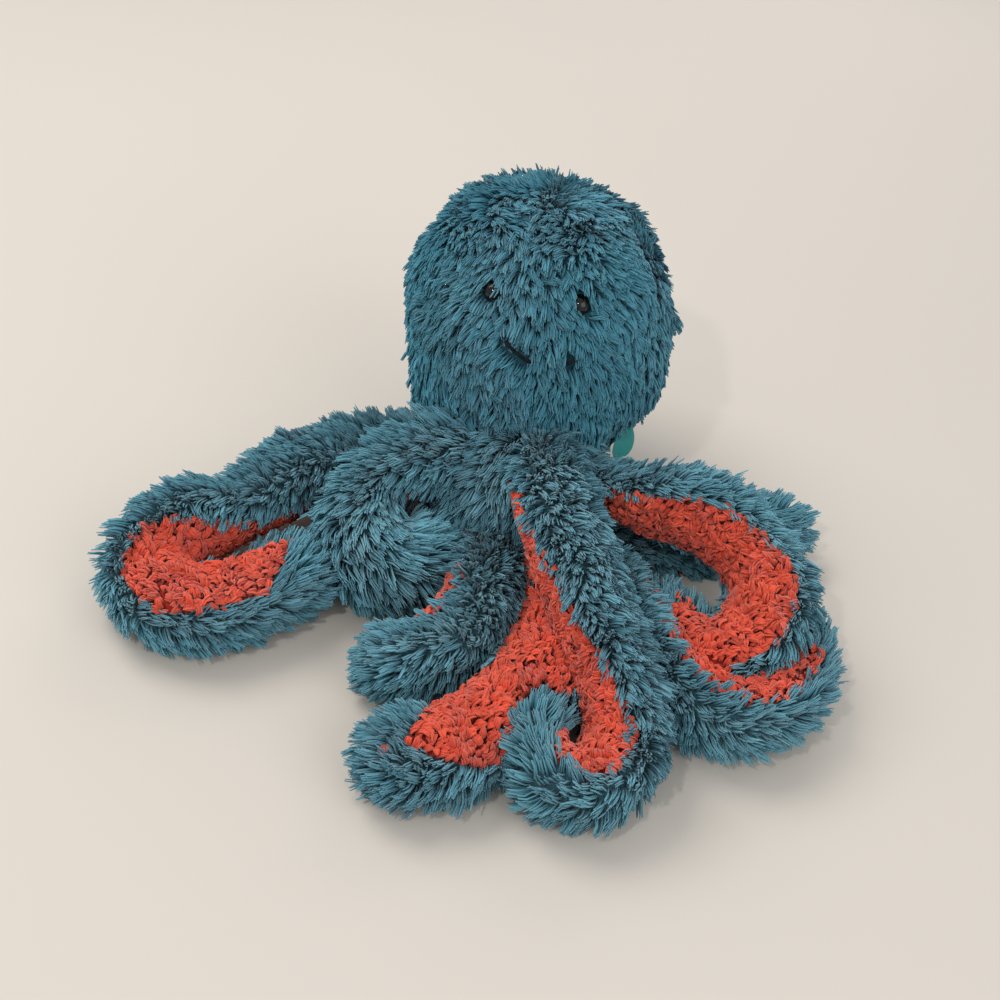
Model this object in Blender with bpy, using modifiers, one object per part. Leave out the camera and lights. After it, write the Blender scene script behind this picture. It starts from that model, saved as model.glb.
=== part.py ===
"""Plush octopus, lying with its head leaned back and eight floppy arms spread round it.

Metres, +Z up. The origin is on the surface that the toy lies on, under the middle of its body.
The face looks towards -Y, and +X is to the right as the face is seen.
Each arm is a blue plush back and a coral lining, sewn along both edges round a stuffed core.
It bends at one soft fold, where the outer length's round end sits in a hollow of the inner length.
"""

import math

import bmesh
import bpy
from mathutils import Matrix, Vector
from mathutils.bvhtree import BVHTree

# Clearances
GAP = 0.0003
ARM_CLEARANCE = 0.0009
NEIGHBOUR_CLEARANCE = 0.0014
SEAM_GAP = 0.0006
OVERRUN = 0.004

# Arms
ARM_REACH = 0.200
ARM_WIDTH = 0.048
BACK_DEPTH = 0.0215
LINING_DEPTH = 0.0155
BACK_WALL = 0.006
LINING_WALL = 0.005
ARM_TIP_LENGTH = 0.026
ARM_RING_STEP = 0.024
ARM_ROOT_GIRTH_SHARE = 0.84
ARM_TAPER_POWER = 1.6
ARM_SWELL_SHARE = 0.30
TIP_RING_SHARES = (0.50, 0.86)
THIN_TIP_SHARE = 0.12
SEAM_DROP_DEG = 28.0
SEAM_END_DROP_DEG = 72.0
SEAM_CLOSING_LENGTH = 0.050
SEAM_CLOSED_LENGTH = 0.020

# Head
HEAD_LENGTH = 0.138
HEAD_RADIUS = 0.0725
HEAD_WALL = 0.006
HEAD_LEAN_DEG = 40.0
FACE_TURN_DEG = -2.5
NECK_X = -0.002
NECK_Y = 0.014
NECK_Z = 0.055
HEAD_PROFILE_SHARES = (
    (1.0, 0.0), (0.975, 0.38), (0.90, 0.70), (0.76, 0.92), (0.57, 1.0),
    (0.37, 0.96), (0.17, 0.83), (0.0, 0.66),
)

# Body
BODY_RADIUS = 0.049
BODY_HEIGHT = 0.084
BODY_WALL = 0.006
BODY_Y = -0.005
BODY_PROFILE_SHARES = (
    (1.0, 0.0), (0.97, 0.36), (0.84, 0.72), (0.66, 0.94), (0.46, 1.0),
    (0.26, 0.95), (0.10, 0.84), (0.0, 0.70), (0.0, 0.0),
)
TURNED_STEPS = 20

# Face
EYE_RADIUS = 0.0048
EYE_DOME_DEPTH = 0.0036
EYE_STEM_RADIUS = 0.0014
EYE_STEM_LENGTH = 0.013
EYE_WASHER_RADIUS = 0.0065
EYE_WASHER_THICKNESS = 0.0014
EYE_WASHER_SEAT = 0.0021
EYE_SPREAD = 0.046
EYE_UP = 0.0645
MOUTH_WIDTH = 0.036
MOUTH_UP = 0.0392
MOUTH_DROP = 0.0072
MOUTH_THREAD_RADIUS = 0.0008
MOUTH_POINTS = 9

# Label
LABEL_WIDTH = 0.013
LABEL_LENGTH = 0.020
LABEL_THICKNESS = 0.0010
LABEL_ROUNDING = 0.004
LABEL_UP = 0.018
LABEL_TILT_DEG = 14.0
LABEL_ROUND_DEG = 52.0

# Folds: the outer length starts in a round end, which the inner length stops short of and is hollowed for
ROUND_END_LENGTH = 0.020
ROUND_END_RING_SHARES = (0.88, 0.50)
FOLD_STOP_SHARE = 0.50
FOLD_SWEEP_STEPS = 3
ROUND_ROOM_SHARE = 0.4

# How far the head nods forward
HEAD_NOD_DEG = 12.0

# Arm routes: x and y as shares of the reach, lift off the floor as a share of the arm's width,
# and the lining's turn as a share of half a turn: 0 down, 0.5 left, -0.5 right, 1 up.
FRONT_ARM_SHARES = (
    (0.05, -0.04, 1.10, -0.16), (0.10, -0.27, 1.00, -0.26), (0.165, -0.43, 0.74, -0.34), (0.24, -0.56, 0.44, -0.40),
    (0.31, -0.69, 0.16, -0.50), (0.33, -0.81, 0.0, -0.68), (0.275, -0.915, 0.0, -0.78), (0.19, -0.92, 0.0, -0.66),
    (0.14, -0.855, 0.02, -0.50), (0.13, -0.78, 0.04, -0.42),
)
RIGHT_ARM_SHARES = (
    (0.16, -0.06, 0.78, -0.28), (0.34, -0.16, 0.86, -0.38), (0.48, -0.18, 0.84, -0.44), (0.60, -0.225, 0.76, -0.56),
    (0.675, -0.33, 0.58, -0.72), (0.65, -0.45, 0.32, -0.86), (0.56, -0.50, 0.10, -0.96), (0.48, -0.45, 0.0, -0.96),
    (0.445, -0.37, 0.0, -0.92),
)
LEFT_ARM_SHARES = (
    (-0.07, -0.06, 0.86, 0.12), (-0.20, -0.085, 0.84, 0.20), (-0.33, -0.14, 0.66, 0.28), (-0.38, -0.25, 0.38, 0.28),
    (-0.33, -0.345, 0.12, 0.25), (-0.25, -0.355, 0.0, 0.21), (-0.19, -0.33, 0.0, 0.18),
)
BACK_LEFT_ARM_SHARES = (
    (-0.10, 0.13, 0.10, 0.10), (-0.25, 0.09, 0.22, 0.14), (-0.40, 0.02, 0.28, 0.22), (-0.53, -0.09, 0.26, 0.27),
    (-0.65, -0.21, 0.20, 0.36), (-0.76, -0.31, 0.13, 0.52), (-0.84, -0.41, 0.06, 0.70), (-0.85, -0.51, 0.0, 0.86),
    (-0.78, -0.58, 0.0, 0.94), (-0.67, -0.56, 0.0, 0.92), (-0.575, -0.485, 0.0, 0.88), (-0.515, -0.41, 0.0, 0.84),
)
BACK_RIGHT_ARM_SHARES = (
    (0.10, 0.02, 0.10, 0.0), (0.26, -0.02, 0.0, 0.0), (0.42, -0.02, 0.0, 0.0), (0.54, 0.0, 0.0, 0.12),
    (0.645, 0.03, 0.0, 0.34), (0.73, 0.05, 0.0, 0.52),
)
FRONT_RIGHT_ARM_SHARES = (
    (0.12, -0.14, 0.10, 0.20), (0.24, -0.28, 0.0, 0.35), (0.35, -0.43, 0.0, 0.50), (0.44, -0.565, 0.0, 0.64),
    (0.54, -0.645, 0.0, 0.73), (0.64, -0.64, 0.0, 0.78), (0.715, -0.56, 0.0, 0.82), (0.75, -0.46, 0.0, 0.84),
    (0.75, -0.37, 0.0, 0.84),
)
LOW_LEFT_ARM_SHARES = (
    (-0.01, -0.12, 0.10, -0.15), (-0.03, -0.28, 0.0, -0.30), (-0.045, -0.43, 0.0, -0.44), (-0.085, -0.55, 0.0, -0.54),
    (-0.145, -0.615, 0.0, -0.60), (-0.20, -0.64, 0.0, -0.60),
)
FRONT_LEFT_ARM_SHARES = (
    (0.08, -0.16, 0.10, -0.50), (0.13, -0.32, 0.0, -0.70), (0.155, -0.48, 0.0, -0.88), (0.12, -0.65, 0.0, -1.00),
    (0.05, -0.79, 0.0, -1.06), (-0.05, -0.885, 0.0, -1.06), (-0.14, -0.93, 0.04, -1.06),
)

# Each arm: its route, its girth, where it folds as a share of its length, which way, how far, and its end's
# girth. They are in the order in which they press on each other: an arm gives way to those above it.
ARMS = {
    "front_arm": (FRONT_ARM_SHARES, 0.96, 0.40, "up", 25.0, 0.70),
    "right_arm": (RIGHT_ARM_SHARES, 0.94, 0.22, "up", 12.0, 0.88),
    "left_arm": (LEFT_ARM_SHARES, 1.0, 0.28, "up", 12.0, 0.88),
    "back_left_arm": (BACK_LEFT_ARM_SHARES, 1.0, 0.30, "right", 10.0, 0.88),
    "back_right_arm": (BACK_RIGHT_ARM_SHARES, 0.86, 0.50, "left", 20.0, 0.88),
    "front_right_arm": (FRONT_RIGHT_ARM_SHARES, 0.92, 0.68, "right", 16.0, 0.88),
    "low_left_arm": (LOW_LEFT_ARM_SHARES, 0.96, 0.50, "up", 20.0, 0.84),
    "front_left_arm": (FRONT_LEFT_ARM_SHARES, 0.94, 0.78, "up", 20.0, 0.88),
}

# Facets round each wall of an arm
BACK_OUTER_FACETS = 6
BACK_INNER_FACETS = 3
LINING_OUTER_FACETS = 3
LINING_INNER_FACETS = 2
CURVE_POINTS_PER_SPAN = 14


def clear_scene():
    """Remove every object that the file opened with."""
    for obj in list(bpy.data.objects):
        bpy.data.objects.remove(obj, do_unlink=True)


def new_collection(name):
    """Make a collection in the scene."""
    collection = bpy.data.collections.new(name)
    bpy.context.scene.collection.children.link(collection)
    return collection


def make_material(name, color, roughness, metallic=0.0):
    """Make a Principled BSDF material."""
    material = bpy.data.materials.new(name)
    material.use_nodes = True
    shader = material.node_tree.nodes["Principled BSDF"]
    shader.inputs["Base Color"].default_value = (*color, 1.0)
    shader.inputs["Roughness"].default_value = roughness
    shader.inputs["Metallic"].default_value = metallic
    return material


def add_object(name, data, material, collection):
    """Link an object for mesh or curve data, in its own material."""
    obj = bpy.data.objects.new(name, data)
    obj.data.materials.append(material)
    collection.objects.link(obj)
    return obj


def mark_cutter(obj):
    """Leave a cutter out of the model."""
    obj.hide_render = True
    obj.display_type = "WIRE"
    return obj


def cut(obj, cutter):
    """Cut one object by another."""
    modifier = obj.modifiers.new("cut_by_" + cutter.name, "BOOLEAN")
    modifier.operation = "DIFFERENCE"
    modifier.object = cutter
    modifier.use_self = True


def loft(name, rings, material, collection):
    """Skin a run of rings with equal counts of points, and cap both ends."""
    bm = bmesh.new()
    levels = [[bm.verts.new(point) for point in ring] for ring in rings]
    count = len(rings[0])
    for lower, upper in zip(levels, levels[1:]):
        for index in range(count):
            after = (index + 1) % count
            bm.faces.new((lower[index], lower[after], upper[after], upper[index]))
    bmesh.ops.triangulate(bm, faces=bm.faces, quad_method="SHORT_EDGE")
    bm.faces.new(levels[0][::-1])
    bm.faces.new(levels[-1])
    bmesh.ops.recalc_face_normals(bm, faces=bm.faces)
    mesh = bpy.data.meshes.new(name)
    bm.to_mesh(mesh)
    bm.free()
    mesh.shade_smooth()
    mesh.set_sharp_from_angle(angle=math.radians(40))
    return add_object(name, mesh, material, collection)


# Arm routes
def spline_point(rows, position):
    """Read a row of values at a position along a smooth curve through the rows."""
    last = len(rows) - 2
    span = min(int(position), last)
    t = position - span
    before = rows[max(span - 1, 0)]
    start, end = rows[span], rows[span + 1]
    after = rows[min(span + 2, len(rows) - 1)]
    return tuple(
        0.5 * (2 * b + (c - a) * t + (2 * a - 5 * b + 4 * c - d) * t * t + (3 * b - a - 3 * c + d) * t ** 3)
        for a, b, c, d in zip(before, start, end, after)
    )


def section_point(size, degrees, wall=0.0, lining_wall=0.0):
    """A point of the arm's oval section, at an angle from its right-hand side, inside a wall."""
    angle = math.radians(degrees)
    across = thinned(ARM_WIDTH / 2 * size, wall)
    if math.sin(angle) >= 0:
        return across * math.cos(angle), thinned(BACK_DEPTH * size, wall) * math.sin(angle)
    return across * math.cos(angle), thinned(LINING_DEPTH * size, lining_wall) * math.sin(angle)


def thinned(outer, wall):
    """Inner size of a wall, which never closes up."""
    return max(outer - wall, outer * THIN_TIP_SHARE)


def arc_degrees(start, end, facets):
    """Angles of the corners of an arc."""
    return [start + (end - start) * index / facets for index in range(facets + 1)]


def outline_degrees(drop):
    """Corners of the whole outline: the back's arc, then the lining's."""
    back = arc_degrees(-drop, 180 + drop, BACK_OUTER_FACETS)
    lining = arc_degrees(180 + drop, 360 - drop, LINING_OUTER_FACETS)
    return back + lining[1:-1]


def envelope_section(size, drop, clearance=0.0):
    """Whole outline of the arm, swollen by a clearance."""
    return [section_point(size, degrees, -clearance, -clearance) for degrees in outline_degrees(drop)]


def reach_along(section, turn, sideways=False):
    """How far a section reaches against and along one direction: up, or else to the right."""
    if sideways:
        reaches = [x * math.cos(turn) + y * math.sin(turn) for x, y in section]
    else:
        reaches = [y * math.cos(turn) - x * math.sin(turn) for x, y in section]
    return -min(reaches), max(reaches)


def girth_at(share, girth, end_share):
    """Arm girth as a share of the full section: it swells from the root and tapers to the end."""
    if share < ARM_SWELL_SHARE:
        t = share / ARM_SWELL_SHARE
        return girth * (ARM_ROOT_GIRTH_SHARE + (1 - ARM_ROOT_GIRTH_SHARE) * math.sin(t * math.pi / 2))
    t = (share - ARM_SWELL_SHARE) / (1 - ARM_SWELL_SHARE)
    return girth * (1 - (1 - end_share) * min(t, 1.0) ** ARM_TAPER_POWER)


class Route:
    """An arm's seam line: smooth, lying on the floor where its lift is nought."""

    def __init__(self, rows, girth, end_share):
        self.rows = rows
        self.girth = girth
        self.end_share = end_share
        spans = len(rows) - 1
        steps = spans * CURVE_POINTS_PER_SPAN
        self.values = [spline_point(rows, spans * index / steps) for index in range(steps + 1)]
        self.points = []
        for index, (x, y, lift, turn) in enumerate(self.values):
            section = envelope_section(girth_at(index / steps, girth, end_share), SEAM_DROP_DEG)
            below, _ = reach_along(section, turn * math.pi)
            self.points.append(Vector((x * ARM_REACH, y * ARM_REACH, below + max(lift, 0.0) * ARM_WIDTH)))
        self.distances = [0.0]
        for before, after in zip(self.points, self.points[1:]):
            self.distances.append(self.distances[-1] + (after - before).length)
        self.length = self.distances[-1] + ARM_TIP_LENGTH

    def at(self, distance):
        """Give the place, direction and turn at a distance along the seam line."""
        last = len(self.points) - 1
        index = 0
        while index < last - 1 and self.distances[index + 1] < distance:
            index += 1
        run = self.distances[index + 1] - self.distances[index]
        t = (distance - self.distances[index]) / run
        place = self.points[index].lerp(self.points[index + 1], t)
        headings = []
        for centre in (index, index + 1):
            low, high = max(centre - 2, 0), min(centre + 2, last)
            headings.append((self.points[high] - self.points[low]).normalized())
        direction = headings[0].lerp(headings[1], min(t, 1.0)).normalized()
        turn = self.values[index][3] + (self.values[index + 1][3] - self.values[index][3]) * min(t, 1.0)
        return place, direction, turn * math.pi

    def frame(self, distance):
        """Give the place and the section's two axes: across to the right, and towards the back."""
        place, direction, turn = self.at(distance)
        side = direction.cross(Vector((0, 0, 1))).normalized()
        up = side.cross(direction)
        across = side * math.cos(turn) - up * math.sin(turn)
        towards_back = side * math.sin(turn) + up * math.cos(turn)
        girth = girth_at(min(distance / self.length, 1.0), self.girth, self.end_share)
        outline = envelope_section(girth, SEAM_DROP_DEG) + envelope_section(girth, self.drop_at(distance))
        lowest = min((place + across * u + towards_back * v).z for u, v in outline)
        place = place + Vector((0, 0, max(GAP / 2 - lowest, 0.0)))
        return place, across, towards_back

    def size_at(self, distance, round_before=0.0):
        """Section size: the girth, rounded off over the tip and before the start of an outer length."""
        size = girth_at(min(distance / self.length, 1.0), self.girth, self.end_share)
        into_tip = (distance - (self.length - ARM_TIP_LENGTH)) / ARM_TIP_LENGTH
        into_end = (round_before - distance) / ROUND_END_LENGTH
        for into in (into_tip, into_end):
            if into > 0:
                size *= math.sqrt(max(1 - into * into, 0.0))
        return size

    def drop_at(self, distance):
        """How far below the section's sides the seams lie: the lining narrows towards the tip."""
        closing = distance - (self.length - SEAM_CLOSING_LENGTH)
        closing = closing / (SEAM_CLOSING_LENGTH - SEAM_CLOSED_LENGTH)
        closing = min(max(closing, 0.0), 1.0)
        return SEAM_DROP_DEG + (SEAM_END_DROP_DEG - SEAM_DROP_DEG) * closing

    def stations(self, start, end):
        """Distances of the rings from start to end, closer together over the round tip."""
        body_end = min(end, self.length - ARM_TIP_LENGTH)
        count = max(int(round((body_end - start) / ARM_RING_STEP)), 1)
        stations = [start + (body_end - start) * index / count for index in range(count)] + [body_end]
        tip_rings = [body_end + ARM_TIP_LENGTH * share for share in TIP_RING_SHARES]
        return stations + [distance for distance in tip_rings if distance <= end]


def wall_section(size, start, end, outer_facets, inner_facets):
    """A curved wall between two seams, drawn back from each by half the gap."""
    across = ARM_WIDTH / 2 * max(size, THIN_TIP_SHARE)
    margin = math.degrees(SEAM_GAP / 2 / across)
    inner_margin = math.degrees(SEAM_GAP / 2 / thinned(across, BACK_WALL))
    outer = arc_degrees(start + margin, end - margin, outer_facets)
    inner = arc_degrees(end - inner_margin, start + inner_margin, inner_facets)
    section = [section_point(size, degrees) for degrees in outer]
    return section + [section_point(size, degrees, BACK_WALL, LINING_WALL) for degrees in inner]


def back_section(size, drop):
    """Blue plush side: from seam to seam over the top."""
    return wall_section(size, -drop, 180 + drop, BACK_OUTER_FACETS, BACK_INNER_FACETS)


def lining_section(size, drop):
    """Coral side: from seam to seam underneath."""
    return wall_section(size, 180 + drop, 360 - drop, LINING_OUTER_FACETS, LINING_INNER_FACETS)


def hollow_section(size, drop):
    """Whole outline, swollen by the clearance of a round end in its hollow."""
    return envelope_section(size, drop, ARM_CLEARANCE)


def room_section(size, drop):
    """Whole outline, swollen by the clearance that an arm leaves its neighbours."""
    return envelope_section(size, drop, NEIGHBOUR_CLEARANCE)


def core_section(size, drop):
    """Stuffing: fills the two walls but for the named gap."""
    back = arc_degrees(-drop, 180 + drop, BACK_INNER_FACETS)
    lining = arc_degrees(180 + drop, 360 - drop, LINING_INNER_FACETS)
    walls = (BACK_WALL + 2 * GAP, LINING_WALL + 2 * GAP)
    return [section_point(size, degrees, *walls) for degrees in back + lining[1:-1]]


def place_section(route, distance, section):
    """Stand a flat section on the route."""
    place, across, towards_back = route.frame(distance)
    return [place + across * u + towards_back * v for u, v in section]


def arm_piece(name, route, section, stations, round_before, material, collection, longer=0.0):
    """Sweep one piece of an arm through its stations, a little longer at both ends if need be."""
    sections = [section(route.size_at(distance, round_before), route.drop_at(distance)) for distance in stations]
    places = [stations[0] - longer] + stations[1:-1] + [stations[-1] + longer]
    rings = [place_section(route, place, flat) for place, flat in zip(places, sections)]
    return loft(name, rings, material, collection)


def fold_hinge(name, route, distance, direction_name, collection):
    """Put an empty on the fold's axis, through the middle of the section."""
    place, direction, turn = route.at(distance)
    section = envelope_section(route.size_at(distance), route.drop_at(distance))
    side = direction.cross(Vector((0, 0, 1))).normalized()
    below, above = reach_along(section, turn)
    left, right = reach_along(section, turn, sideways=True)
    hinge = bpy.data.objects.new(name + "_fold", None)
    hinge.location = place + Vector((0, 0, (above - below) / 2)) + side * ((right - left) / 2)
    heading = Vector((direction.x, direction.y, 0)).to_track_quat("Y", "Z")
    hinge.rotation_euler = heading.to_euler()
    collection.objects.link(hinge)
    axes = {"up": side, "left": Vector((0, 0, 1)), "right": Vector((0, 0, -1))}
    return hinge, axes[direction_name]


def swept(cutter, pivot, axis, limit, collection):
    """Stand a cutter at even steps to its limit."""
    poses = []
    for step in range(1, FOLD_SWEEP_STEPS + 1):
        angle = math.radians(limit * step / FOLD_SWEEP_STEPS)
        pose = bpy.data.objects.new("{}_{}".format(cutter.name, step), cutter.data)
        for modifier in cutter.modifiers:
            copy_turn(modifier, pose)
        spin = Matrix.Translation(pivot) @ Matrix.Rotation(angle, 4, axis) @ Matrix.Translation(-pivot)
        pose.matrix_basis = spin @ cutter.matrix_basis
        collection.objects.link(pose)
        poses.append(mark_cutter(pose))
    return poses


def hollow_cutter(name, rooms, material, collection):
    """Wrap the round end's room at rest and at every pose in one convex cutter."""
    bm = bmesh.new()
    for room in rooms:
        for vertex in room.data.vertices:
            bm.verts.new(room.matrix_basis @ vertex.co)
    hull = bmesh.ops.convex_hull(bm, input=bm.verts)
    left_over = set(hull["geom_interior"] + hull["geom_unused"])
    inside = [item for item in left_over if isinstance(item, bmesh.types.BMVert)]
    bmesh.ops.delete(bm, geom=inside, context="VERTS")
    bmesh.ops.recalc_face_normals(bm, faces=bm.faces)
    mesh = bpy.data.meshes.new(name)
    bm.to_mesh(mesh)
    bm.free()
    return mark_cutter(add_object(name, mesh, material, collection))


def make_arm(name, materials, collection, cutters, route, fold_share, direction, limit):
    """Make an arm's six pieces, with the outer three on an empty at the fold."""
    fold = route.length * fold_share
    stop = fold - ROUND_END_LENGTH * FOLD_STOP_SHARE
    inner = route.stations(0.0, stop)
    rounding = [fold - ROUND_END_LENGTH * share for share in ROUND_END_RING_SHARES]
    outer = rounding + route.stations(fold, route.length)
    core_end = route.length - ARM_TIP_LENGTH * (1 - TIP_RING_SHARES[0]) + GAP
    hinge, axis = fold_hinge(name, route, fold, direction, collection)
    sections = {
        "back": (back_section, materials["plush"]),
        "lining": (lining_section, materials["lining"]),
        "stuffing": (core_section, materials["stuffing"]),
    }
    pieces = {"inner": [], "outer": []}
    for layer, (section, material) in sections.items():
        tip = outer
        if layer == "stuffing":
            tip = [distance for distance in outer[1:] if distance <= core_end]
        for half, stations, round_before in (("inner", inner, 0.0), ("outer", tip, fold)):
            label = "_".join((name, layer, half))
            pieces[half].append(arm_piece(label, route, section, stations, round_before, material, collection))
    for piece in pieces["outer"]:
        piece.parent = hinge
        piece.matrix_parent_inverse = hinge.matrix_basis.inverted()

    rooms = {}
    hollow = rounding + [fold, fold + ROUND_END_LENGTH * ROUND_ROOM_SHARE]
    outlines = {
        "inner": (room_section, inner, 0.0, NEIGHBOUR_CLEARANCE),
        "outer": (room_section, outer, fold, NEIGHBOUR_CLEARANCE),
        "hollow": (hollow_section, hollow, fold, ARM_CLEARANCE),
    }
    for room, (section, stations, start, longer) in outlines.items():
        label = "_".join((name, room, "room"))
        rooms[room] = mark_cutter(arm_piece(
            label, route, section, stations, start, materials["plush"], cutters, longer))
    return pieces, rooms, (hinge.location, axis, limit)


def surface_tree(obj):
    """Search tree of an object's surface as it stands."""
    mesh = obj.data
    if obj.modifiers:
        mesh = bpy.data.meshes.new_from_object(obj.evaluated_get(bpy.context.evaluated_depsgraph_get()))
    places = [obj.matrix_basis @ vertex.co for vertex in mesh.vertices]
    return BVHTree.FromPolygons(places, [tuple(polygon.vertices) for polygon in mesh.polygons])


# Turned head and body
def copy_turn(modifier, obj):
    """Give a turned cutter's pose the same turn."""
    screw = obj.modifiers.new(modifier.name, modifier.type)
    for name in ("steps", "render_steps", "use_merge_vertices", "merge_threshold", "use_smooth_shade"):
        setattr(screw, name, getattr(modifier, name))


def turned(name, outline, material, collection, wall=None):
    """Turn an outline, given from its top down its outer side, into a shell or a solid."""
    mesh = bpy.data.meshes.new(name)
    edges = [(index, index + 1) for index in range(len(outline) - 1)]
    mesh.from_pydata([(radius, 0, height) for radius, height in outline], edges, [])
    obj = add_object(name, mesh, material, collection)
    screw = obj.modifiers.new("turn", "SCREW")
    screw.steps = TURNED_STEPS
    screw.render_steps = TURNED_STEPS
    screw.use_merge_vertices = True
    screw.merge_threshold = 0.00005
    screw.use_smooth_shade = True
    if wall:
        solidify = obj.modifiers.new("wall", "SOLIDIFY")
        solidify.thickness = wall
        solidify.offset = -1
        solidify.use_even_offset = True
    return obj


def inset(outline, depth):
    """Move an outline of (radius, height) points inwards by an even depth."""
    inward = []
    for before, after in zip(outline, outline[1:]):
        along = Vector((after[0] - before[0], after[1] - before[1])).normalized()
        inward.append(Vector((along.y, -along.x)))
    moved = []
    for index, (radius, height) in enumerate(outline):
        first = inward[max(index - 1, 0)]
        second = inward[min(index, len(inward) - 1)]
        if radius == 0.0:
            moved.append((0.0, height + math.copysign(depth / abs(first.y + second.y) * 2, first.y * depth)))
            continue
        step = (first + second) * (depth / (1 + first.dot(second)))
        moved.append((max(radius + step.x, 0.0), height + step.y))
    return moved


def head_outline(growth=0.0):
    """Outer outline of the head from crown to neck, swollen by a growth."""
    outline = [(r * HEAD_RADIUS, s * HEAD_LENGTH) for s, r in HEAD_PROFILE_SHARES]
    return inset(outline, -growth) if growth else outline


def head_matrix():
    """Place of the head: its axis leans back from the neck, and the face is turned a little."""
    lean = Matrix.Rotation(math.radians(-HEAD_LEAN_DEG), 4, "X")
    turn = Matrix.Rotation(math.radians(FACE_TURN_DEG), 4, "Z")
    return Matrix.Translation((NECK_X, NECK_Y, NECK_Z)) @ lean @ turn


def head_radius_at(height):
    """Outer radius of the head at a height over the neck."""
    outline = head_outline()
    for (r1, h1), (r2, h2) in zip(outline, outline[1:]):
        if h2 <= height <= h1:
            return r2 + (r1 - r2) * (height - h2) / (h1 - h2)
    return outline[-1][0]


def face_point(across, height, out):
    """A point in front of the head's surface, in the head's own frame."""
    radius = head_radius_at(height)
    angle = math.asin(across / radius)
    return Vector((radius + out) * Vector((math.sin(angle), -math.cos(angle), 0))) + Vector((0, 0, height))


def make_head(materials, collection, cutters):
    """Make the head's cover and stuffing, and the cutter that the rest gives way to."""
    matrix = head_matrix()
    outline = head_outline()
    cover = turned("head_cover", outline, materials["plush"], collection, HEAD_WALL)
    filling = inset(outline, HEAD_WALL + 2 * GAP)
    filling.append((0.0, filling[-1][1]))
    stuffing = turned("head_stuffing", filling, materials["stuffing"], collection)
    grown = head_outline(ARM_CLEARANCE)
    grown[-1] = (grown[-1][0], -ARM_CLEARANCE)
    grown.append((0.0, -ARM_CLEARANCE))
    cutter = mark_cutter(turned("head_cutter", grown, materials["plush"], cutters))
    for obj in (cover, stuffing, cutter):
        obj.matrix_world = matrix
    return cover, stuffing, cutter


def body_outline():
    """Outer outline of the body from its top to the middle of its flat base."""
    return [(r * BODY_RADIUS, s * BODY_HEIGHT) for s, r in BODY_PROFILE_SHARES]


def make_body(materials, collection, cutters):
    """Make the body's cover and stuffing, and the cutter that the arms give way to."""
    outline = body_outline()
    cover = turned("body_cover", outline, materials["plush"], collection, BODY_WALL)
    filling = inset(outline, BODY_WALL + 2 * GAP)
    stuffing = turned("body_stuffing", filling, materials["stuffing"], collection)
    grown = inset(outline, -ARM_CLEARANCE)
    grown[-2] = (grown[-3][0], -OVERRUN)
    grown[-1] = (0.0, -OVERRUN)
    cutter = mark_cutter(turned("body_cutter", grown, materials["plush"], cutters))
    for obj in (cover, stuffing, cutter):
        obj.location = (0, BODY_Y, 0)
    return cover, stuffing, cutter


# Eyes, mouth and label
def cylinder(name, radius, depth, material, collection, segments=16):
    """Make a cylinder from z = 0 down to -depth."""
    bm = bmesh.new()
    bmesh.ops.create_cone(bm, cap_ends=True, segments=segments, radius1=radius, radius2=radius, depth=depth)
    bmesh.ops.translate(bm, vec=(0, 0, -depth / 2), verts=bm.verts)
    mesh = bpy.data.meshes.new(name)
    bm.to_mesh(mesh)
    bm.free()
    return add_object(name, mesh, material, collection)


def eye_outline():
    """Eye turned about its stem: a dome over a thin rim, then the stem."""
    outline = []
    for degrees in (90, 65, 40, 15):
        angle = math.radians(degrees)
        outline.append((EYE_RADIUS * math.cos(angle) if degrees < 90 else 0.0, EYE_DOME_DEPTH * math.sin(angle)))
    outline += [(EYE_RADIUS, 0.0), (EYE_STEM_RADIUS, 0.0), (EYE_STEM_RADIUS, -EYE_STEM_LENGTH), (0.0, -EYE_STEM_LENGTH)]
    return outline


def make_eye(side, sign, materials, collection, cutters, head_cover, head_stuffing):
    """Set an eye in the head: the stem goes through the cover, and a washer locks it inside."""
    place = face_point(sign * EYE_SPREAD / 2, EYE_UP, GAP)
    outward = Vector((place.x, place.y, 0)).normalized()
    stand = head_matrix() @ Matrix.Translation(place) @ outward.to_track_quat("Z", "X").to_matrix().to_4x4()
    eye = turned("eye_" + side, eye_outline(), materials["eye"], collection)
    washer = cylinder("eye_washer_" + side, EYE_WASHER_RADIUS, EYE_WASHER_THICKNESS, materials["washer"], collection)
    stem_hole = mark_cutter(cylinder(
        "stem_hole_" + side, EYE_STEM_RADIUS + GAP, EYE_STEM_LENGTH + 2 * GAP, materials["washer"], cutters))
    pocket = mark_cutter(cylinder(
        "washer_pocket_" + side, EYE_WASHER_RADIUS + GAP, EYE_WASHER_THICKNESS + 2 * GAP, materials["washer"], cutters))
    for obj in (eye, stem_hole):
        obj.matrix_world = stand
    seat = HEAD_WALL + EYE_WASHER_SEAT
    washer.matrix_world = stand @ Matrix.Translation((0, 0, -seat))
    pocket.matrix_world = stand @ Matrix.Translation((0, 0, GAP - seat))
    over = mark_cutter(cylinder(
        "eye_flat_" + side, EYE_RADIUS + GAP, EYE_DOME_DEPTH, materials["washer"], cutters))
    over.matrix_world = stand @ Matrix.Translation((0, 0, EYE_DOME_DEPTH - GAP))
    cut(head_cover, over)
    cut(head_cover, stem_hole)
    cut(head_stuffing, stem_hole)
    cut(head_stuffing, pocket)
    cut(washer, stem_hole)
    return eye, washer


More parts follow.
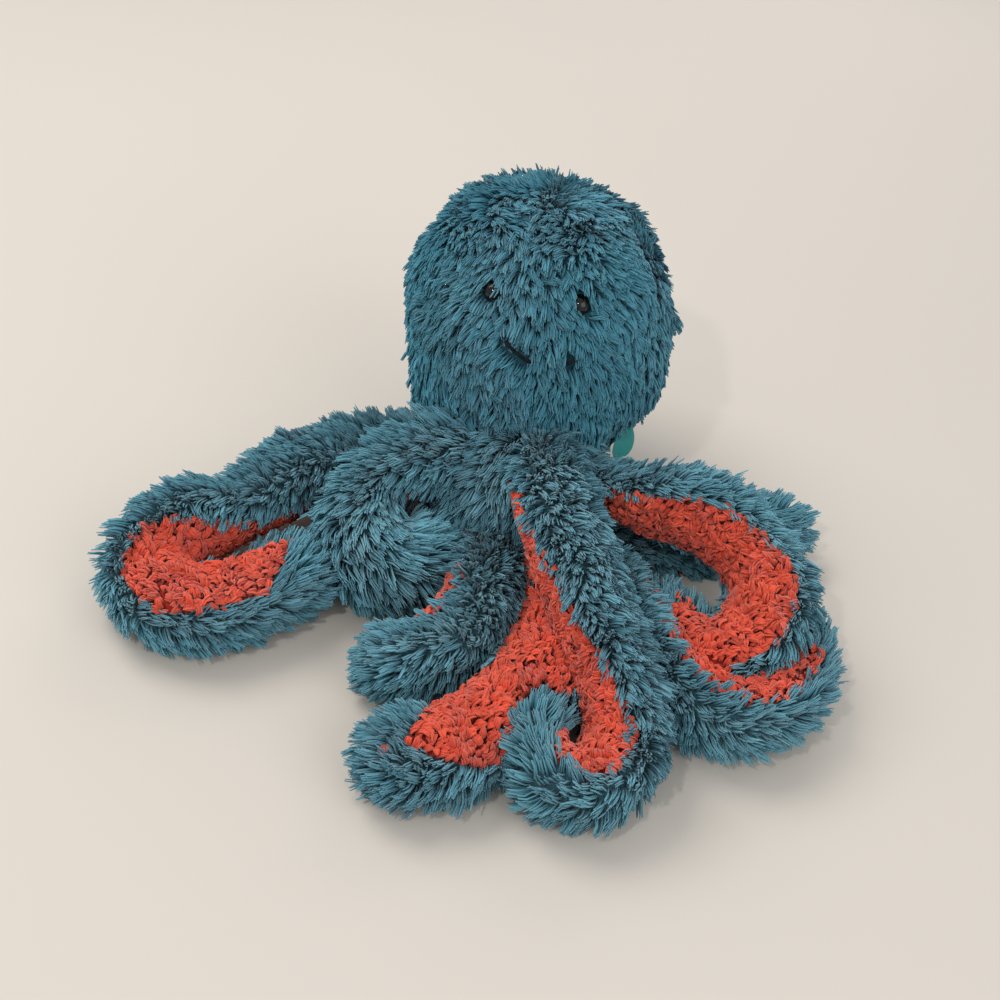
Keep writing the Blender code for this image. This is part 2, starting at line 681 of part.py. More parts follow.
def make_mouth(materials, collection):
    """Lay the smile's stitched thread along the face."""
    curve = bpy.data.curves.new("mouth_stitch", "CURVE")
    curve.dimensions = "3D"
    curve.bevel_depth = MOUTH_THREAD_RADIUS
    curve.bevel_resolution = 1
    curve.use_fill_caps = True
    spline = curve.splines.new("POLY")
    spline.points.add(MOUTH_POINTS - 1)
    for index, point in enumerate(spline.points):
        t = 2 * index / (MOUTH_POINTS - 1) - 1
        height = MOUTH_UP - MOUTH_DROP * (1 - t * t)
        place = face_point(t * MOUTH_WIDTH / 2, height, MOUTH_THREAD_RADIUS + 2 * GAP)
        point.co = (*place, 1)
    guide = add_object("mouth_guide", curve, materials["thread"], collection)
    guide.matrix_world = head_matrix()
    bpy.context.view_layer.update()
    evaluated = guide.evaluated_get(bpy.context.evaluated_depsgraph_get())
    mesh = bpy.data.meshes.new_from_object(evaluated)
    bm = bmesh.new()
    bm.from_mesh(mesh)
    bmesh.ops.remove_doubles(bm, verts=bm.verts, dist=0.00005)
    bm.to_mesh(mesh)
    bm.free()
    mouth = bpy.data.objects.new("mouth_stitch", mesh)
    mouth.matrix_world = guide.matrix_world
    collection.objects.link(mouth)
    bpy.data.objects.remove(guide, do_unlink=True)
    return mouth


def make_label(materials, collection):
    """Sew the blank fabric label into the neck seam on the right."""
    curve = bpy.data.curves.new("label", "CURVE")
    curve.dimensions = "2D"
    curve.fill_mode = "BOTH"
    curve.extrude = LABEL_THICKNESS / 2
    half, tip, corner = LABEL_WIDTH / 2, LABEL_LENGTH, LABEL_ROUNDING
    points = ((-half, 0), (half, 0), (half, tip - corner), (half - corner, tip))
    points += ((corner - half, tip), (-half, tip - corner))
    spline = curve.splines.new("POLY")
    spline.points.add(len(points) - 1)
    for point, (x, y) in zip(spline.points, points):
        point.co = (x, y, 0, 1)
    spline.use_cyclic_u = True
    guide = add_object("label_guide", curve, materials["label"], collection)
    radius = head_radius_at(LABEL_UP) + LABEL_THICKNESS / 2 + GAP
    round_head = Matrix.Rotation(math.radians(LABEL_ROUND_DEG), 4, "Z")
    hang = Matrix.Rotation(math.radians(-90 - LABEL_TILT_DEG), 4, "X")
    place = Matrix.Translation((0, -radius, LABEL_UP))
    guide.matrix_world = head_matrix() @ round_head @ place @ hang
    bpy.context.view_layer.update()
    evaluated = guide.evaluated_get(bpy.context.evaluated_depsgraph_get())
    mesh = bpy.data.meshes.new_from_object(evaluated)
    bm = bmesh.new()
    bm.from_mesh(mesh)
    bmesh.ops.remove_doubles(bm, verts=bm.verts, dist=0.00005)
    bmesh.ops.recalc_face_normals(bm, faces=bm.faces)
    bm.to_mesh(mesh)
    bm.free()
    label = bpy.data.objects.new("label", mesh)
    label.matrix_world = guide.matrix_world
    collection.objects.link(label)
    bpy.data.objects.remove(guide, do_unlink=True)
    return label


def main():
    """Build the octopus."""
    clear_scene()
    collection = new_collection("plush_octopus")
    cutters = new_collection("cutters")
    materials = {
        "plush": make_material("blue_plush", (0.045, 0.155, 0.205), 0.9),
        "lining": make_material("coral_lining", (0.80, 0.095, 0.045), 0.9),
        "stuffing": make_material("white_stuffing", (0.85, 0.85, 0.82), 0.95),
        "eye": make_material("dark_eye", (0.012, 0.008, 0.006), 0.12),
        "washer": make_material("white_washer", (0.75, 0.75, 0.72), 0.4),
        "thread": make_material("black_thread", (0.01, 0.01, 0.012), 0.8),
        "label": make_material("teal_label", (0.02, 0.23, 0.22), 0.7),
    }
    head_cover, head_stuffing, head_cutter = make_head(materials, collection, cutters)
    body_cover, body_stuffing, body_cutter = make_body(materials, collection, cutters)
    cut(body_cover, head_cutter)
    cut(body_stuffing, head_cutter)
    head = [head_cover, head_stuffing, make_mouth(materials, collection)]
    for side, sign in (("left", -1), ("right", 1)):
        head += make_eye(side, sign, materials, collection, cutters, head_cover, head_stuffing)
    head.append(make_label(materials, collection))

    neck_front = head_matrix() @ Vector((0, -head_outline()[-1][0], 0))
    pivot = Vector((0, neck_front.y, neck_front.z))
    bpy.context.view_layer.update()
    head_rooms = [head_cutter, body_cutter]
    above = [(cutter, surface_tree(cutter)) for cutter in head_rooms]
    nods = swept(head_cutter, pivot, Vector((1, 0, 0)), HEAD_NOD_DEG, cutters)
    bpy.context.view_layer.update()
    sweeps = [(cutter, surface_tree(cutter)) for cutter in nods]
    cuts = []
    for name, (rows, girth, fold_share, direction, limit, end_share) in ARMS.items():
        route = Route(rows, girth, end_share)
        pieces, rooms, fold = make_arm(name, materials, collection, cutters, route, fold_share, direction, limit)
        pivot_here, axis, _ = fold
        hollow_rooms = [rooms["hollow"]] + swept(rooms["hollow"], *fold, cutters)
        hollow = hollow_cutter(name + "_hollow", hollow_rooms, materials["plush"], cutters)
        hollows = [(hollow, surface_tree(hollow))]
        returns = []
        for cutter, _ in above:
            for pose in swept(cutter, pivot_here, -axis, limit, cutters):
                returns.append((pose, surface_tree(pose)))
        for half, others in (("inner", above + sweeps + hollows), ("outer", above + sweeps + returns)):
            for piece in pieces[half]:
                tree = surface_tree(piece)
                cuts += [(piece, other) for other, other_tree in others if tree.overlap(other_tree)]
        above += [(rooms[room], surface_tree(rooms[room])) for room in ("inner", "outer")]
        sweeps += [(pose, surface_tree(pose)) for pose in swept(rooms["outer"], *fold, cutters)]
    for piece, other in cuts:
        cut(piece, other)

    neck = bpy.data.objects.new("head_nod", None)
    collection.objects.link(neck)
    neck.location = pivot
    bpy.context.view_layer.update()
    for obj in head:
        matrix = obj.matrix_world.copy()
        obj.parent = neck
        obj.matrix_parent_inverse = Matrix.Translation(pivot).inverted()
        obj.matrix_world = matrix


main()
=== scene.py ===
"""The looks of the plush octopus, dressed round its fixed CAD frame.

Every arm is a padded tube with a shaggy blue back and a curly coral lining. The tube follows the same
route as the arm's solids. The pile is real mesh: tapered strands in clumps on the backs, the head and
the body, and plied curls on the linings.
"""

from __future__ import annotations

import logging
import math
from dataclasses import dataclass, field, replace
from enum import Enum
from typing import Dict, List, Optional, Sequence, Tuple, Union

import bpy
import numpy as np
from mathutils import Matrix, Vector
from mathutils.kdtree import KDTree

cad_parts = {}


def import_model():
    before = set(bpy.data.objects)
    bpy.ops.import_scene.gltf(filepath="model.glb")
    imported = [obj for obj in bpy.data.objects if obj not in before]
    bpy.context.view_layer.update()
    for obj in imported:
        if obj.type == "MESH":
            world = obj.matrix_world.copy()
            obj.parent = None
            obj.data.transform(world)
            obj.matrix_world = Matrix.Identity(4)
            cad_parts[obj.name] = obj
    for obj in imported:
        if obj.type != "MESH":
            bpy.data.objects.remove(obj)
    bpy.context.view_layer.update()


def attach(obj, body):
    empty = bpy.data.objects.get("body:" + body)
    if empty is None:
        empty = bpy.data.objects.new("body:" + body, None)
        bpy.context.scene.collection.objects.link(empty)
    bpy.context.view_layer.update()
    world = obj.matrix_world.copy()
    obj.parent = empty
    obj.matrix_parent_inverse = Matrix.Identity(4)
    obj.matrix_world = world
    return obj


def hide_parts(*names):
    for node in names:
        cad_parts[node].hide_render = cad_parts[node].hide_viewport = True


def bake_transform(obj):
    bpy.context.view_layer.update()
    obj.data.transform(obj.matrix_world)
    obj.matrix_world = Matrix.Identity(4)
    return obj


LOG = logging.getLogger("octopus")
Array = np.ndarray
Block = Tuple[Array, Array, Array]
Color = Tuple[float, float, float]
Place = Tuple[float, float, float]
Profile = Tuple[Tuple[float, float], ...]
Ramp = Tuple[Tuple[float, ...], Tuple[float, ...]]
Value = Union["Socket", float]
Paint = Union["Socket", Color]

BAKE_MAP = "OFBake"

# Arm sizes, as in the solids
ARM_REACH = 0.200
ARM_WIDTH = 0.048
BACK_DEPTH = 0.0215
LINING_DEPTH = 0.0155
ARM_TIP_LENGTH = 0.026
ROOT_GIRTH_SHARE = 0.84
TAPER_POWER = 1.6
SWELL_SHARE = 0.30
SEAM_DROP_DEG = 28.0
SEAM_END_DROP_DEG = 88.0
SEAM_CLOSING_LENGTH = 0.050
SEAM_CLOSED_LENGTH = 0.020

# Head and body, as in the solids
HEAD_LENGTH = 0.138
HEAD_RADIUS = 0.0725
HEAD_LEAN_DEG = 40.0
FACE_TURN_DEG = -2.5
NECK_PLACE = (-0.002, 0.014, 0.055)
HEAD_PROFILE_SHARES: Profile = (
    (0.0, 0.66), (0.17, 0.83), (0.37, 0.96), (0.57, 1.0), (0.76, 0.92), (0.90, 0.70), (0.975, 0.38),
    (1.0, 0.0),
)
BODY_RADIUS = 0.049
BODY_HEIGHT = 0.084
BODY_Y = -0.005
BODY_PROFILE_SHARES: Profile = (
    (0.0, 0.70), (0.10, 0.84), (0.26, 0.95), (0.46, 1.0), (0.66, 0.94), (0.84, 0.72), (0.97, 0.36),
    (1.0, 0.0),
)

# The fabric lies this far inside the solids, to leave room for its pile
SKIN_INSET = 0.0042
LINING_SKIN_INSET = 0.0022
HEAD_SKIN_INSET = 0.0055
TIP_INSET = 0.006

# Where pile is left out: under the floor's line, face down on it, or deep in a neighbour
FLOOR_CLEARANCE = 0.0003
FACE_DOWN = -0.80
NEAR_FLOOR = 0.004
BURIED_HEIGHT = 0.005

UP = np.array((0.0, 0.0, 1.0))
SAG_WAY = np.array((0.0, -0.5, -0.86))
GOLDEN_SHARE = 0.6180339887
FINE_STEPS = 200
STRAND_SIDES = 3


@dataclass(frozen=True)
class ArmPlan:
    """One arm: its route's rows, its girth and its end's, where it folds, and its seed of chance.

    Each row of seams gives a share of the arm's length and how far below the section's middle the seam
    lies on either side, in degrees. Each pinch is a place where the stuffing is thin: its share of the
    length, its width as a share, the part of the girth that is gone, and how far the arm sags there. A
    part or a sag below zero is a full place or a raised one.
    """

    name: str
    rows: Tuple[Tuple[float, float, float, float], ...]
    girth: float
    end_share: float
    fold_share: float
    seed: int
    seams: Tuple[Tuple[float, float, float], ...] = ((0.0, SEAM_DROP_DEG, SEAM_DROP_DEG),)
    pinches: Tuple[Tuple[float, float, float, float], ...] = ()
    pile_scale: float = 1.0


# Each row of a route gives the way across and along in arm reaches, the height in arm widths, and the
# section's turn in half turns, as in the solids
ARM_PLANS: Tuple[ArmPlan, ...] = (
    ArmPlan("front_arm", (
        (0.05, -0.04, 1.10, -0.16), (0.10, -0.27, 1.00, -0.26), (0.165, -0.43, 0.74, -0.34),
        (0.24, -0.56, 0.44, -0.40), (0.31, -0.69, 0.16, -0.50), (0.33, -0.81, 0.0, -0.68),
        (0.275, -0.915, 0.0, -0.78), (0.19, -0.92, 0.0, -0.66), (0.14, -0.855, 0.02, -0.50),
        (0.13, -0.78, 0.04, -0.42),
    ), 0.96, 0.70, 0.40, 11),
    ArmPlan("right_arm", (
        (0.16, -0.06, 0.78, -0.28), (0.34, -0.16, 0.86, -0.38), (0.48, -0.18, 0.84, -0.44),
        (0.60, -0.225, 0.76, -0.56), (0.675, -0.33, 0.58, -0.72), (0.65, -0.45, 0.32, -0.86),
        (0.56, -0.50, 0.10, -0.96), (0.48, -0.45, 0.0, -0.96), (0.445, -0.37, 0.0, -0.92),
    ), 0.94, 0.88, 0.22, 12, pinches=((0.09, 0.13, 0.24, 0.002), (0.43, 0.10, 0.12, 0.006))),
    ArmPlan("left_arm", (
        (-0.07, -0.06, 0.86, 0.12), (-0.20, -0.085, 0.84, 0.20), (-0.33, -0.14, 0.66, 0.28),
        (-0.38, -0.25, 0.38, 0.28), (-0.33, -0.345, 0.12, 0.25), (-0.25, -0.355, 0.0, 0.21),
        (-0.19, -0.33, 0.0, 0.18),
    ), 1.0, 0.88, 0.28, 13, ((0.0, 60.0, 60.0),),
        ((0.36, 0.16, 0.22, 0.005), (0.78, 0.15, -0.08, -0.007)), 1.20),
    ArmPlan("back_left_arm", (
        (-0.10, 0.13, 0.10, 0.10), (-0.25, 0.09, 0.22, 0.14), (-0.40, 0.02, 0.28, 0.22),
        (-0.53, -0.09, 0.26, 0.27), (-0.65, -0.21, 0.20, 0.36), (-0.76, -0.31, 0.13, 0.52),
        (-0.84, -0.41, 0.06, 0.70), (-0.85, -0.51, 0.0, 0.86), (-0.78, -0.58, 0.0, 0.94),
        (-0.67, -0.56, 0.0, 0.92), (-0.575, -0.485, 0.0, 0.88), (-0.515, -0.41, 0.0, 0.84),
    ), 1.0, 0.88, 0.30, 14, (
        (0.0, 28.0, 28.0), (0.25, 45.0, 20.0), (0.33, 66.0, 12.0), (0.52, 66.0, 12.0), (0.62, 40.0, 28.0),
        (0.72, 28.0, 28.0),
    ), ((0.445, 0.045, 0.24, 0.005),)),
    ArmPlan("back_right_arm", (
        (0.10, 0.02, 0.10, 0.0), (0.26, -0.02, 0.0, 0.0), (0.42, -0.02, 0.0, 0.0),
        (0.54, 0.0, 0.0, 0.12), (0.645, 0.03, 0.0, 0.34), (0.73, 0.05, 0.0, 0.52),
    ), 0.86, 0.88, 0.50, 15),
    ArmPlan("front_right_arm", (
        (0.12, -0.14, 0.10, 0.20), (0.24, -0.28, 0.0, 0.35), (0.35, -0.43, 0.0, 0.50),
        (0.44, -0.565, 0.0, 0.64), (0.54, -0.645, 0.0, 0.73), (0.64, -0.64, 0.0, 0.78),
        (0.715, -0.56, 0.0, 0.82), (0.75, -0.46, 0.0, 0.84), (0.75, -0.37, 0.0, 0.84),
    ), 0.92, 0.88, 0.68, 16),
    ArmPlan("low_left_arm", (
        (-0.01, -0.12, 0.10, -0.15), (-0.03, -0.28, 0.0, -0.30), (-0.045, -0.43, 0.0, -0.44),
        (-0.085, -0.55, 0.0, -0.54), (-0.145, -0.615, 0.0, -0.60), (-0.20, -0.64, 0.0, -0.60),
    ), 0.96, 0.84, 0.50, 17),
    ArmPlan("front_left_arm", (
        (0.08, -0.16, 0.10, -0.50), (0.13, -0.32, 0.0, -0.70), (0.155, -0.48, 0.0, -0.88),
        (0.12, -0.65, 0.0, -1.00), (0.05, -0.79, 0.0, -1.06), (-0.05, -0.885, 0.0, -1.06),
        (-0.14, -0.93, 0.04, -1.06),
    ), 0.94, 0.88, 0.78, 18, ((0.0, 28.0, 28.0), (0.50, 28.0, 28.0), (0.60, -12.0, 32.0))),
)


class Side(Enum):
    """The two strips that an arm is sewn from."""

    BACK = "back"
    LINING = "lining"


class Zone(Enum):
    """The lengths of an arm: on the body, across the fold, and past it."""

    INNER = "inner"
    FOLD = "fold"
    OUTER = "outer"


class Eye(Enum):
    """The two eyes, each with the side of the face that it is on."""

    LEFT = -1
    RIGHT = 1


class Blend(Enum):
    """Ways to blend two colours."""

    MIX = "MIX"
    MULTIPLY = "MULTIPLY"


class Bands(Enum):
    """Ways in which a weave's bands run over the bake map."""

    ALONG = "Y"
    ASLANT = "DIAGONAL"


PILE_NAMES = {Side.BACK: "shag", Side.LINING: "curls"}
CLOTH_COLUMNS = {Side.BACK: 28, Side.LINING: 16}
LEAST_PILED_SHRINK = {Side.BACK: 0.25, Side.LINING: 0.15}


# Materials

class Socket:
    """An output of a shader graph, with arithmetic that adds Math nodes."""

    def __init__(self, graph: ShaderGraph, output: bpy.types.NodeSocket) -> None:
        """Wrap an output of a node in a graph."""
        self.graph, self.output = graph, output

    def other(self, name: str) -> Socket:
        """Give another output of the same node."""
        return Socket(self.graph, self.output.node.outputs[name])

    def _math(self, operation: str, first: Value, second: Value) -> Socket:
        """Join two values through one Math node."""
        return self.graph.node("ShaderNodeMath", {"operation": operation}, {0: first, 1: second})

    def __add__(self, value: Value) -> Socket:
        """Add a value."""
        return self._math("ADD", self, value)

    def __sub__(self, value: Value) -> Socket:
        """Take a value away."""
        return self._math("SUBTRACT", self, value)

    def __rsub__(self, value: float) -> Socket:
        """Take this away from a number."""
        return self._math("SUBTRACT", value, self)

    def __mul__(self, value: Value) -> Socket:
        """Multiply by a value."""
        return self._math("MULTIPLY", self, value)

    __radd__ = __add__
    __rmul__ = __mul__


class ShaderGraph:
    """A material's node tree, built by short calls."""

    def __init__(self, name: str) -> None:
        """Start a material.

        Args:
            name: The material's name.
        """
        self.material = bpy.data.materials.new(name)
        self.material.use_nodes = True
        self.tree = self.material.node_tree
        self.shader = self.tree.nodes["Principled BSDF"]

    def node(
        self,
        kind: str,
        settings: Optional[Dict[str, object]] = None,
        inputs: Optional[Dict[object, object]] = None,
        output: object = 0,
    ) -> Socket:
        """Add a node and give one of its outputs.

        Args:
            kind: The node's type name.
            settings: Attributes to set on it, or the stops of its ramp.
            inputs: Values or sockets by input name or index.
            output: Which output to give.

        Returns:
            The output as a socket.
        """
        made = self.tree.nodes.new(kind)
        for key, value in (settings or {}).items():
            if key == "stops":
                self._set_stops(made.color_ramp.elements, value)
            else:
                setattr(made, key, value)
        for key, value in (inputs or {}).items():
            self.feed(made.inputs[key], value)
        return Socket(self, made.outputs[output])

    @staticmethod
    def _set_stops(elements: bpy.types.ColorRampElements, stops: Sequence[Tuple[float, Color]]) -> None:
        """Set the places and colours of a ramp.

        Args:
            elements: The ramp's elements.
            stops: Places from 0 to 1, in order, with their colours.
        """
        while len(elements) < len(stops):
            elements.new(1.0)
        for element, (place, color) in zip(elements, stops):
            element.position = place
            element.color = (*color, 1.0)

    def feed(self, target: bpy.types.NodeSocket, value: object) -> None:
        """Link a socket to an input, or set the input's own value.

        Args:
            target: The input.
            value: A socket, a number, or a colour, which becomes opaque.
        """
        if isinstance(value, Socket):
            self.tree.links.new(value.output, target)
        else:
            target.default_value = (*value, 1.0) if isinstance(value, tuple) else value

    def finish(self, sockets: Dict[str, object]) -> bpy.types.Material:
        """Feed the shader's own sockets.

        Args:
            sockets: Values or links by the socket's name.

        Returns:
            The finished material.
        """
        for name, value in sockets.items():
            self.feed(self.shader.inputs[name], value)
        return self.material

    def mix(self, share: Value, first: Paint, second: Paint, blend: Blend = Blend.MIX) -> Socket:
        """Blend two colours.

        Args:
            share: How much of the second.
            first: A colour or socket.
            second: A colour or socket.
            blend: How they are blended.

        Returns:
            The blended colour.
        """
        settings = {"data_type": "RGBA", "blend_type": blend.value}
        return self.node("ShaderNodeMix", settings, {"Factor": share, 6: first, 7: second}, 2)

    def noise(self, scale: float, detail: float = 2.0) -> Socket:
        """Read a noise texture in the object's own space.

        Args:
            scale: The texture's scale.
            detail: Its detail.

        Returns:
            The height of the noise.
        """
        place = self.node("ShaderNodeTexCoord", output="Object")
        inputs = {"Vector": place, "Scale": scale, "Detail": detail}
        return self.node("ShaderNodeTexNoise", {}, inputs, "Fac")

    def bake_place(self) -> Socket:
        """Read the bake map."""
        return self.node("ShaderNodeUVMap", {"uv_map": BAKE_MAP}, output="UV")

    def bands(self, way: Bands, scale: float, distortion: float) -> Socket:
        """Read bands laid over the bake map.

        Args:
            way: How the bands run.
            scale: How many there are.
            distortion: How far they waver.

        Returns:
            The height of the bands.
        """
        settings = {"wave_type": "BANDS", "bands_direction": way.value}
        inputs = {"Vector": self.bake_place(), "Scale": scale, "Distortion": distortion}
        return self.node("ShaderNodeTexWave", settings, inputs, "Fac")

    def bump(self, height: Socket, strength: float, distance: float) -> Socket:
        """Turn a height into a normal."""
        inputs = {"Height": height, "Strength": strength, "Distance": distance}
        return self.node("ShaderNodeBump", {}, inputs, "Normal")


@dataclass(frozen=True)
class PileFinish:
    """Colours of a pile from its root, painted shade deep in the pile, to its tip, painted light,
    with how far one tuft differs from the next.
    """

    name: str
    root: Color
    middle: Color
    tip: Color
    pale_share: float
    roughness: float
    sheen: float
    bump: float
    bump_scale: float
    middle_place: float = 0.38
    dark: Color = (0.60, 0.62, 0.66)
    sheen_roughness: float = 0.5
    specular: float = 0.08
    bump_depth: float = 0.0002

    def material(self) -> bpy.types.Material:
        """Make the material: its colour runs from painted shade at the root to painted light at the tip,
        and differs from tuft to tuft.

        Returns:
            The material.
        """
        graph = ShaderGraph(self.name)
        tone = graph.node("ShaderNodeSeparateXYZ", {}, {"Vector": graph.bake_place()}, "X")
        # The ramp runs from painted shade deep in the pile at the root to painted light on the tip
        stops = ((0.0, self.root), (self.middle_place, self.middle), (1.0, self.tip))
        color = graph.node("ShaderNodeValToRGB", {"stops": stops}, {"Fac": tone.other("Y")}, "Color")
        dark = graph.mix(1.0, color, self.dark, Blend.MULTIPLY)
        pale = graph.mix(self.pale_share, color, self.tip)
        return graph.finish({
            "Base Color": graph.mix(1 - tone, pale, dark),
            "Roughness": self.roughness,
            "Sheen Weight": self.sheen,
            "Sheen Roughness": self.sheen_roughness,
            "Specular IOR Level": self.specular,
            "Normal": graph.bump(graph.noise(self.bump_scale, 1.0), self.bump, self.bump_depth),
        })


@dataclass(frozen=True)
class CloudFinish:
    """A polished eye or a plain floor: two colours in a cloud, which may also dull the shine."""

    name: str
    color: Color
    cloud_color: Color
    cloud_scale: float
    cloud_detail: float
    cloud_share: float
    roughness: float
    specular: float
    cloud_roughness: float = 0.0

    def material(self) -> bpy.types.Material:
        """Make the material.

        Returns:
            The material.
        """
        graph = ShaderGraph(self.name)
        cloud = graph.noise(self.cloud_scale, self.cloud_detail)
        dulled = self.cloud_roughness * cloud if self.cloud_roughness else 0.0
        return graph.finish({
            "Base Color": graph.mix(self.cloud_share * cloud, self.color, self.cloud_color),
            "Roughness": self.roughness + dulled,
            "Specular IOR Level": self.specular,
        })


@dataclass(frozen=True)
class WovenFinish:
    """Twisted thread or woven tape: bands between two colours, with a relief."""

    name: str
    dark: Color
    pale: Color
    way: Bands
    scale: float
    distortion: float
    contrast: float
    roughness: float
    specular: float
    sheen: float
    bump: float
    cloud_color: Optional[Color] = None
    cloud_scale: float = 240.0
    cloud_share: float = 0.25
    bump_depth: float = 0.0003

    def material(self) -> bpy.types.Material:
        """Make the material.

        Returns:
            The material.
        """
        graph = ShaderGraph(self.name)
        weave = graph.bands(self.way, self.scale, self.distortion)
        color = graph.mix(self.contrast * weave, self.dark, self.pale)
        if self.cloud_color:
            color = graph.mix(self.cloud_share * graph.noise(self.cloud_scale), color, self.cloud_color)
        return graph.finish({
            "Base Color": color,
            "Roughness": self.roughness,
            "Specular IOR Level": self.specular,
            "Sheen Weight": self.sheen,
            "Normal": graph.bump(weave, self.bump, self.bump_depth),
        })


# Blue pile colours: the root colour is painted shade deep in the pile, the tip colour painted light on the
# tips
ARM_BLUE = PileFinish(
    "arm_blue_pile", (0.008, 0.048, 0.067), (0.068, 0.258, 0.330), (0.192, 0.472, 0.560),
    pale_share=0.45, roughness=0.95, sheen=0.25, bump=0.10, bump_scale=2600.0)
# The head's pile is coloured darker than the arms', as painted shade for the lesser light on the head
HEAD_BLUE = PileFinish(
    "head_blue_pile", (0.007, 0.054, 0.080), (0.044, 0.215, 0.290), (0.115, 0.365, 0.455),
    pale_share=0.35, roughness=0.95, sheen=0.20, bump=0.10, bump_scale=2600.0)
# Coral colours: the root colour is painted shade between the curls, the tip colour painted light on them
CORAL_PILE = PileFinish(
    "coral_pile", (0.62, 0.026, 0.011), (0.84, 0.064, 0.028), (0.96, 0.150, 0.078),
    pale_share=0.35, roughness=1.0, sheen=0.30, bump=0.30, bump_scale=2200.0)
EYE_GLOSS = CloudFinish(
    "dark_eye", (0.002, 0.002, 0.002), (0.006, 0.005, 0.004), cloud_scale=900.0, cloud_detail=3.0,
    cloud_share=0.5, roughness=0.02, specular=0.5, cloud_roughness=0.06)
BLACK_THREAD = WovenFinish(
    "black_thread", (0.004, 0.004, 0.005), (0.022, 0.022, 0.026), Bands.ASLANT, scale=14.0, distortion=0.6,
    contrast=1.0, roughness=0.7, specular=0.1, sheen=0.0, bump=0.5)
TEAL_TAPE = WovenFinish(
    "teal_tape", (0.010, 0.235, 0.215), (0.022, 0.330, 0.300), Bands.ALONG, scale=18.0, distortion=0.4,
    contrast=0.5, roughness=0.55, specular=0.5, sheen=0.2, bump=0.35, cloud_color=(0.05, 0.42, 0.38))
PALE_FLOOR = CloudFinish(
    "pale_floor", (0.66, 0.600, 0.530), (0.61, 0.550, 0.480), cloud_scale=3.0, cloud_detail=2.0,
    cloud_share=0.3, roughness=0.9, specular=0.1)


# Meshes from arrays

def put_in_scene(name: str, data: bpy.types.ID) -> bpy.types.Object:
    """Make an object of a mesh, a lamp or a camera, and link it.

    Args:
        name: The object's name.
        data: What it holds.

    Returns:
        The object.
    """
    obj = bpy.data.objects.new(name, data)
    bpy.context.scene.collection.objects.link(obj)
    return obj


# A face's strip of the bake map is this wide, and the cloth reads the roots' end of the colours
BAKE_STEP = 0.004
BAKE_STRIP = np.array((0.0, BAKE_STEP, BAKE_STEP, 0.0))
# The cloth reads the root end of the ramp: painted shade, the dark seen between the strands
CLOTH_ALONG = np.array((0.0, 0.0, 0.01, 0.01))
TONE_START = 0.02
TONE_SPAN = 0.94
# The cloth's tone sits low, so the dark mix deepens its painted shade
CLOTH_TONE = 0.35
CLOTH_TONE_WANDER = 0.2


@dataclass
class MeshParts:
    """Points, faces and bake places that grow into one mesh."""

    points: List[Array] = field(default_factory=list)
    quads: List[Array] = field(default_factory=list)
    places: List[Array] = field(default_factory=list)
    count: int = 0

    def add(self, points: Array, quads: Array, places: Array) -> None:
        """Add a block of quads.

        Args:
            points: Positions, n by 3.
            quads: Corner indices, m by 4.
            places: Bake places of the corners, m by 4 by 2.
        """
        if not len(quads):
            return
        self.points.append(points)
        self.quads.append(quads + self.count)
        self.places.append(places)
        self.count += len(points)

    def build(self, name: str, material: bpy.types.Material) -> bpy.types.Object:
        """Make the object.

        Args:
            name: The piece's name.
            material: Its material.

        Returns:
            The linked object.
        """
        points = np.concatenate(self.points).astype(np.float32)
        quads = np.concatenate(self.quads).astype(np.int32)
        places = np.concatenate(self.places).astype(np.float32)
        mesh = bpy.data.meshes.new(name)
        mesh.vertices.add(len(points))
        mesh.vertices.foreach_set("co", points.ravel())
        mesh.loops.add(quads.size)
        mesh.loops.foreach_set("vertex_index", quads.ravel())
        mesh.polygons.add(len(quads))
        mesh.polygons.foreach_set("loop_start", np.arange(0, quads.size, 4, dtype=np.int32))
        mesh.update(calc_edges=True)
        mesh.uv_layers.new(name=BAKE_MAP).data.foreach_set("uv", places.ravel())
        mesh.shade_smooth()
        mesh.materials.append(material)
        return put_in_scene(name, mesh)


def unit(vectors: Array) -> Array:
    """Scale vectors to length one."""
    return vectors / np.maximum(np.linalg.norm(vectors, axis=-1, keepdims=True), 1e-9)


def placed(points: Array, matrix: Array) -> Array:
    """Carry points, n by 3, through a placing matrix."""
    return points @ matrix[:3, :3].T + matrix[:3, 3]


def run_along(points: Array) -> Array:
    """Length of a line up to each of its points."""
    return np.concatenate([[0], np.cumsum(np.linalg.norm(np.diff(points, axis=0), axis=1))])


def all_pairs(first: Array, second: Array) -> List[Array]:
    """Every value of one row with every value of another, as two long rows."""
    return [grid.ravel() for grid in np.meshgrid(first, second, indexing="ij")]


def weave_quads(index: Array, closed: bool) -> Array:
    """Join neighbouring points of grids into quads.

    Args:
        index: Point numbers, with rows and columns as the last two axes.
        closed: Whether each row closes on itself.

    Returns:
        Corner indices, n by 4.
    """
    if closed:
        index = np.concatenate([index, index[..., :1]], axis=-1)
    corners = (index[..., :-1, :-1], index[..., :-1, 1:], index[..., 1:, 1:], index[..., 1:, :-1])
    return np.stack(corners, axis=-1).reshape(-1, 4)


def cloth_block(points: Array, closed: bool, tone: Array) -> Block:
    """Turn rings of points into cloth, coloured as the root of the pile, which is painted shade.

    Args:
        points: Rings by points by 3.
        closed: Whether each ring closes on itself.
        tone: Tone of each ring's points.

    Returns:
        Points, quads and bake places.
    """
    rings, count = points.shape[:2]
    quads = weave_quads(np.arange(rings * count).reshape(rings, count), closed)
    places = np.empty((len(quads), 4, 2))
    places[:, :, 0] = tone.reshape(-1)[quads[:, 0]][:, None] + BAKE_STRIP
    places[:, :, 1] = CLOTH_ALONG
    return points.reshape(-1, 3), quads, places


def settle(points: Array) -> Array:
    """Keep points on or above the floor."""
    return np.maximum(points, (-np.inf, -np.inf, FLOOR_CLEARANCE))


